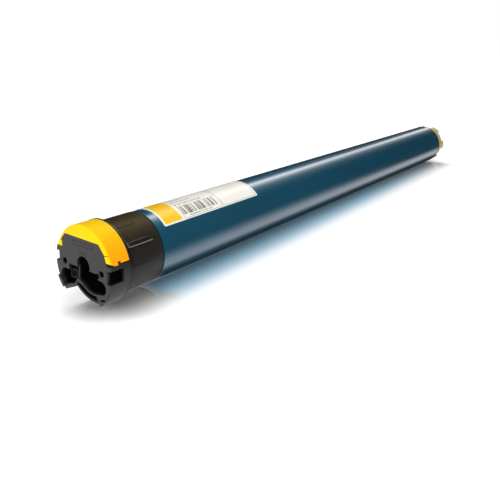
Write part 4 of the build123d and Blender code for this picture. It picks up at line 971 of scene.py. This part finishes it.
class BLINDMOTOR_OT_stage(bpy.types.Operator):
    """Make the camera, the floor, the world, the lamps and the graded card."""

    bl_idname = "blindmotor.stage"
    bl_label = "Stage"

    def execute(self, context):
        self.make_camera(context)
        self.make_floor(context)
        self.make_world(context)
        self.make_lamps(context)
        self.make_card(context)
        context.scene.view_settings.view_transform = "Standard"
        return {"FINISHED"}

    def make_camera(self, context):
        """Camera at the photograph's place."""
        data = bpy.data.cameras.new("camera")
        camera = bpy.data.objects.new("camera", data)
        context.scene.collection.objects.link(camera)
        right, up, forward = (turned_by(axis, ROLL) for axis in camera_axes())
        camera.matrix_world = standing(turned_by(CAMERA_PLACE, ROLL), right, up, -forward)
        data.sensor_width = CAMERA_SENSOR
        data.lens = CAMERA_LENS
        data.shift_x, data.shift_y = CAMERA_SHIFT
        data.clip_start, data.clip_end = CAMERA_CLIP
        context.scene.camera = camera

    def make_floor(self, context):
        """Floor that the head's flange and the tube's far end rest on."""
        bpy.ops.object.select_all(action="DESELECT")
        bpy.ops.mesh.primitive_plane_add(size=FLOOR_WIDTH)
        floor = context.object
        floor.name = "floor"
        slope = (HEAD_HIGH.z - TUBE_HIGH.z) / (TUBE_HIGH.x - FLANGE_REST)
        along = turned_by(Vector((1, 0, slope)).normalized(), ROLL)
        across = turned_by((0, 1, 0), ROLL)
        place = turned_by((FLANGE_REST, 0, -HEAD_HIGH.z - FLOOR_GAP), ROLL)
        floor.matrix_world = standing(place, along, across, along.cross(across))
        floor.data.materials.append(self.floor_gloss())

    def floor_gloss(self):
        """Pale floor that mirrors the motor near it, with a painted shadow and a painted blue reflection
        near the motor, and painted levels of its own for reflections.
        """
        finish = Finish("floor_gloss")
        x, y, _ = finish.here()
        before = finish.smallest(x - MIRROR_RUN[0], 0.0) * MIRROR_FADES[0]
        behind = finish.largest(x - MIRROR_RUN[1], 0.0) * MIRROR_FADES[1]
        away = finish.distance(before + behind, y)
        # Painted grey shadow and painted blue reflection of the tube on the floor near the motor.
        blue = finish.step(x, *BLUE_START) * finish.step(x, *BLUE_FADE_RUN, 1.0, BLUE_AT_END)
        painted_shadow_and_reflection = finish.mix(blue, FLOOR_PAINTED_SHADOW, FLOOR_PAINTED_REFLECTION)
        tone = finish.mix(finish.step(away, *PAINTED_SHADE_REACH), painted_shadow_and_reflection, FLOOR_TONE)
        matt = finish.node("ShaderNodeBsdfDiffuse", None, {"Color": tone})
        lit = finish.node("ShaderNodeAddShader", None, {0: matt, 1: finish.glow(tone, FLOOR_GLOW)})
        rough = finish.step(away, 0.0, MIRROR_REACH, *MIRROR_ROUGHNESS)
        gloss = finish.node("ShaderNodeBsdfGlossy", None, {"Color": WHITE, "Roughness": rough})
        mirror = finish.step(away, 0.0, MIRROR_REACH, MIRROR_SHARE, 0.0)
        seen = finish.mixed(mirror, lit, gloss)

        # Painted light for reflections: a dark painted shadow under the tube, with lighter bands beside it.
        level = finish.ramp(y, *FLOOR_LEVEL_RUN, FLOOR_LEVELS)
        level = finish.mix(finish.step(x, *HEAD_LEVEL_END), HEAD_LEVEL, level)
        outer = finish.step(y, *OUTER_SIDE, 1.0, 0.0) * finish.step(x, *OUTER_RUN)
        strip = finish.glow(finish.mix(outer, level, BLACK), 1.0)
        plain = finish.mixed(finish.ray("Is Glossy Ray"), matt, strip)
        return finish.output(finish.mixed(finish.ray("Is Camera Ray"), plain, seen))

    def make_world(self, context):
        """White world, dimmer on matt surfaces than it looks."""
        world = bpy.data.worlds.new("studio")
        context.scene.world = world
        finish = Finish("studio", world)
        seen = finish.ray("Is Camera Ray", "Is Glossy Ray", "Is Transmission Ray")
        strength = finish.step(seen, 0.0, 1.0, WORLD_LIGHT, 1.0)
        light = finish.node("ShaderNodeBackground", None, {"Color": WHITE, "Strength": strength})
        finish.output(light, "ShaderNodeOutputWorld")

    def make_lamps(self, context):
        """Soft lamps, which neither the camera nor reflections see."""
        target = Vector(LAMP_TARGET)
        for name, place, wide, tall, power in LAMPS:
            data = bpy.data.lights.new(name, "AREA")
            data.shape = "RECTANGLE"
            data.size, data.size_y, data.energy = wide, tall, power
            lamp = bpy.data.objects.new(name, data)
            context.scene.collection.objects.link(lamp)
            lamp.location = place
            lamp.rotation_mode = "QUATERNION"
            lamp.rotation_quaternion = (target - Vector(place)).to_track_quat("-Z", "Y")
            lamp.visible_camera = False
            lamp.visible_glossy = False

    def make_card(self, context):
        """Long curved card close round the tube that only its reflections see."""
        low, high = radians(CARD_LOW), radians(CARD_HIGH)
        bpy.ops.object.select_all(action="DESELECT")
        bpy.ops.mesh.primitive_grid_add(x_subdivisions=1, y_subdivisions=CARD_STEPS, size=1)
        card = context.object
        card.name = "graded_card"
        layer = card.data.uv_layers.active or card.data.uv_layers.new()
        for corner in card.data.loops:
            point = card.data.vertices[corner.vertex_index].co
            layer.data[corner.index].uv = (point.x + 0.5, point.y + 0.5)
        for point in card.data.vertices:
            turn = low + (point.co.y + 0.5) * (high - low)
            along = CARD_START + (point.co.x + 0.5) * CARD_LENGTH
            point.co = turned_by((along, -CARD_RADIUS * cos(turn), CARD_RADIUS * sin(turn)), ROLL)
        card.data.materials.append(self.card_light())
        card.visible_camera = False
        card.visible_diffuse = False
        card.visible_shadow = False
        card.visible_transmission = False
        card.visible_volume_scatter = False

    def card_light(self):
        """Light of the card, graded round the motor's axis and clear from behind."""
        finish = Finish("card")
        across, up, _ = finish.parts(finish.node("ShaderNodeUVMap"))
        station = (across * CARD_LENGTH + CARD_START) / MM
        turn = CARD_LOW + up * (CARD_HIGH - CARD_LOW) - (station - CARD_SKEW_FROM) * CARD_SKEW
        level = finish.ramp(turn, CARD_LOW, CARD_HIGH, CARD_LEVELS)
        fade = finish.step(station, *CARD_FADE_RUN, 0.0, CARD_FADE)
        glow = finish.glow(finish.mix(fade, level, BLACK), CARD_STRENGTH)
        clear = finish.node("ShaderNodeBsdfTransparent")
        geometry = finish.node("ShaderNodeNewGeometry", out=None)
        return finish.output(finish.mixed(Sock(finish, geometry.outputs["Backfacing"]), clear, glow))


PIECES = [
    BLINDMOTOR_OT_head, BLINDMOTOR_OT_cover, BLINDMOTOR_OT_crown, BLINDMOTOR_OT_tube,
    BLINDMOTOR_OT_label, BLINDMOTOR_OT_output, BLINDMOTOR_OT_inner, BLINDMOTOR_OT_stage,
]


class BLINDMOTOR_PT_panel(bpy.types.Panel):
    """List the pieces of the motor."""

    bl_idname = "BLINDMOTOR_PT_panel"
    bl_label = "Blind Motor"
    bl_space_type = "VIEW_3D"
    bl_region_type = "UI"
    bl_category = "Blind Motor"

    def draw(self, context):
        for piece in PIECES:
            self.layout.operator(piece.bl_idname)
        for group in (context.scene.blind_motor_sizes, context.scene.blind_motor_colours):
            box = self.layout.box()
            for name in group.__annotations__:
                box.prop(group, name)


CLASSES = [BlindMotorSizes, BlindMotorColours, *PIECES, BLINDMOTOR_PT_panel]


def register():
    """Register the classes and the settings of the scene."""
    for made in CLASSES:
        bpy.utils.register_class(made)
    bpy.types.Scene.blind_motor_sizes = PointerProperty(type=BlindMotorSizes)
    bpy.types.Scene.blind_motor_colours = PointerProperty(type=BlindMotorColours)


def unregister():
    """Take the classes and the settings away again."""
    del bpy.types.Scene.blind_motor_colours
    del bpy.types.Scene.blind_motor_sizes
    for made in reversed(CLASSES):
        bpy.utils.unregister_class(made)


def main():
    register()
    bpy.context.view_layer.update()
    bpy.ops.blindmotor.head()
    bpy.ops.blindmotor.cover()
    bpy.ops.blindmotor.crown()
    bpy.ops.blindmotor.tube()
    bpy.ops.blindmotor.label()
    bpy.ops.blindmotor.output()
    bpy.ops.blindmotor.inner()
    bpy.ops.blindmotor.stage()


if __name__ == "__main__":
    main()
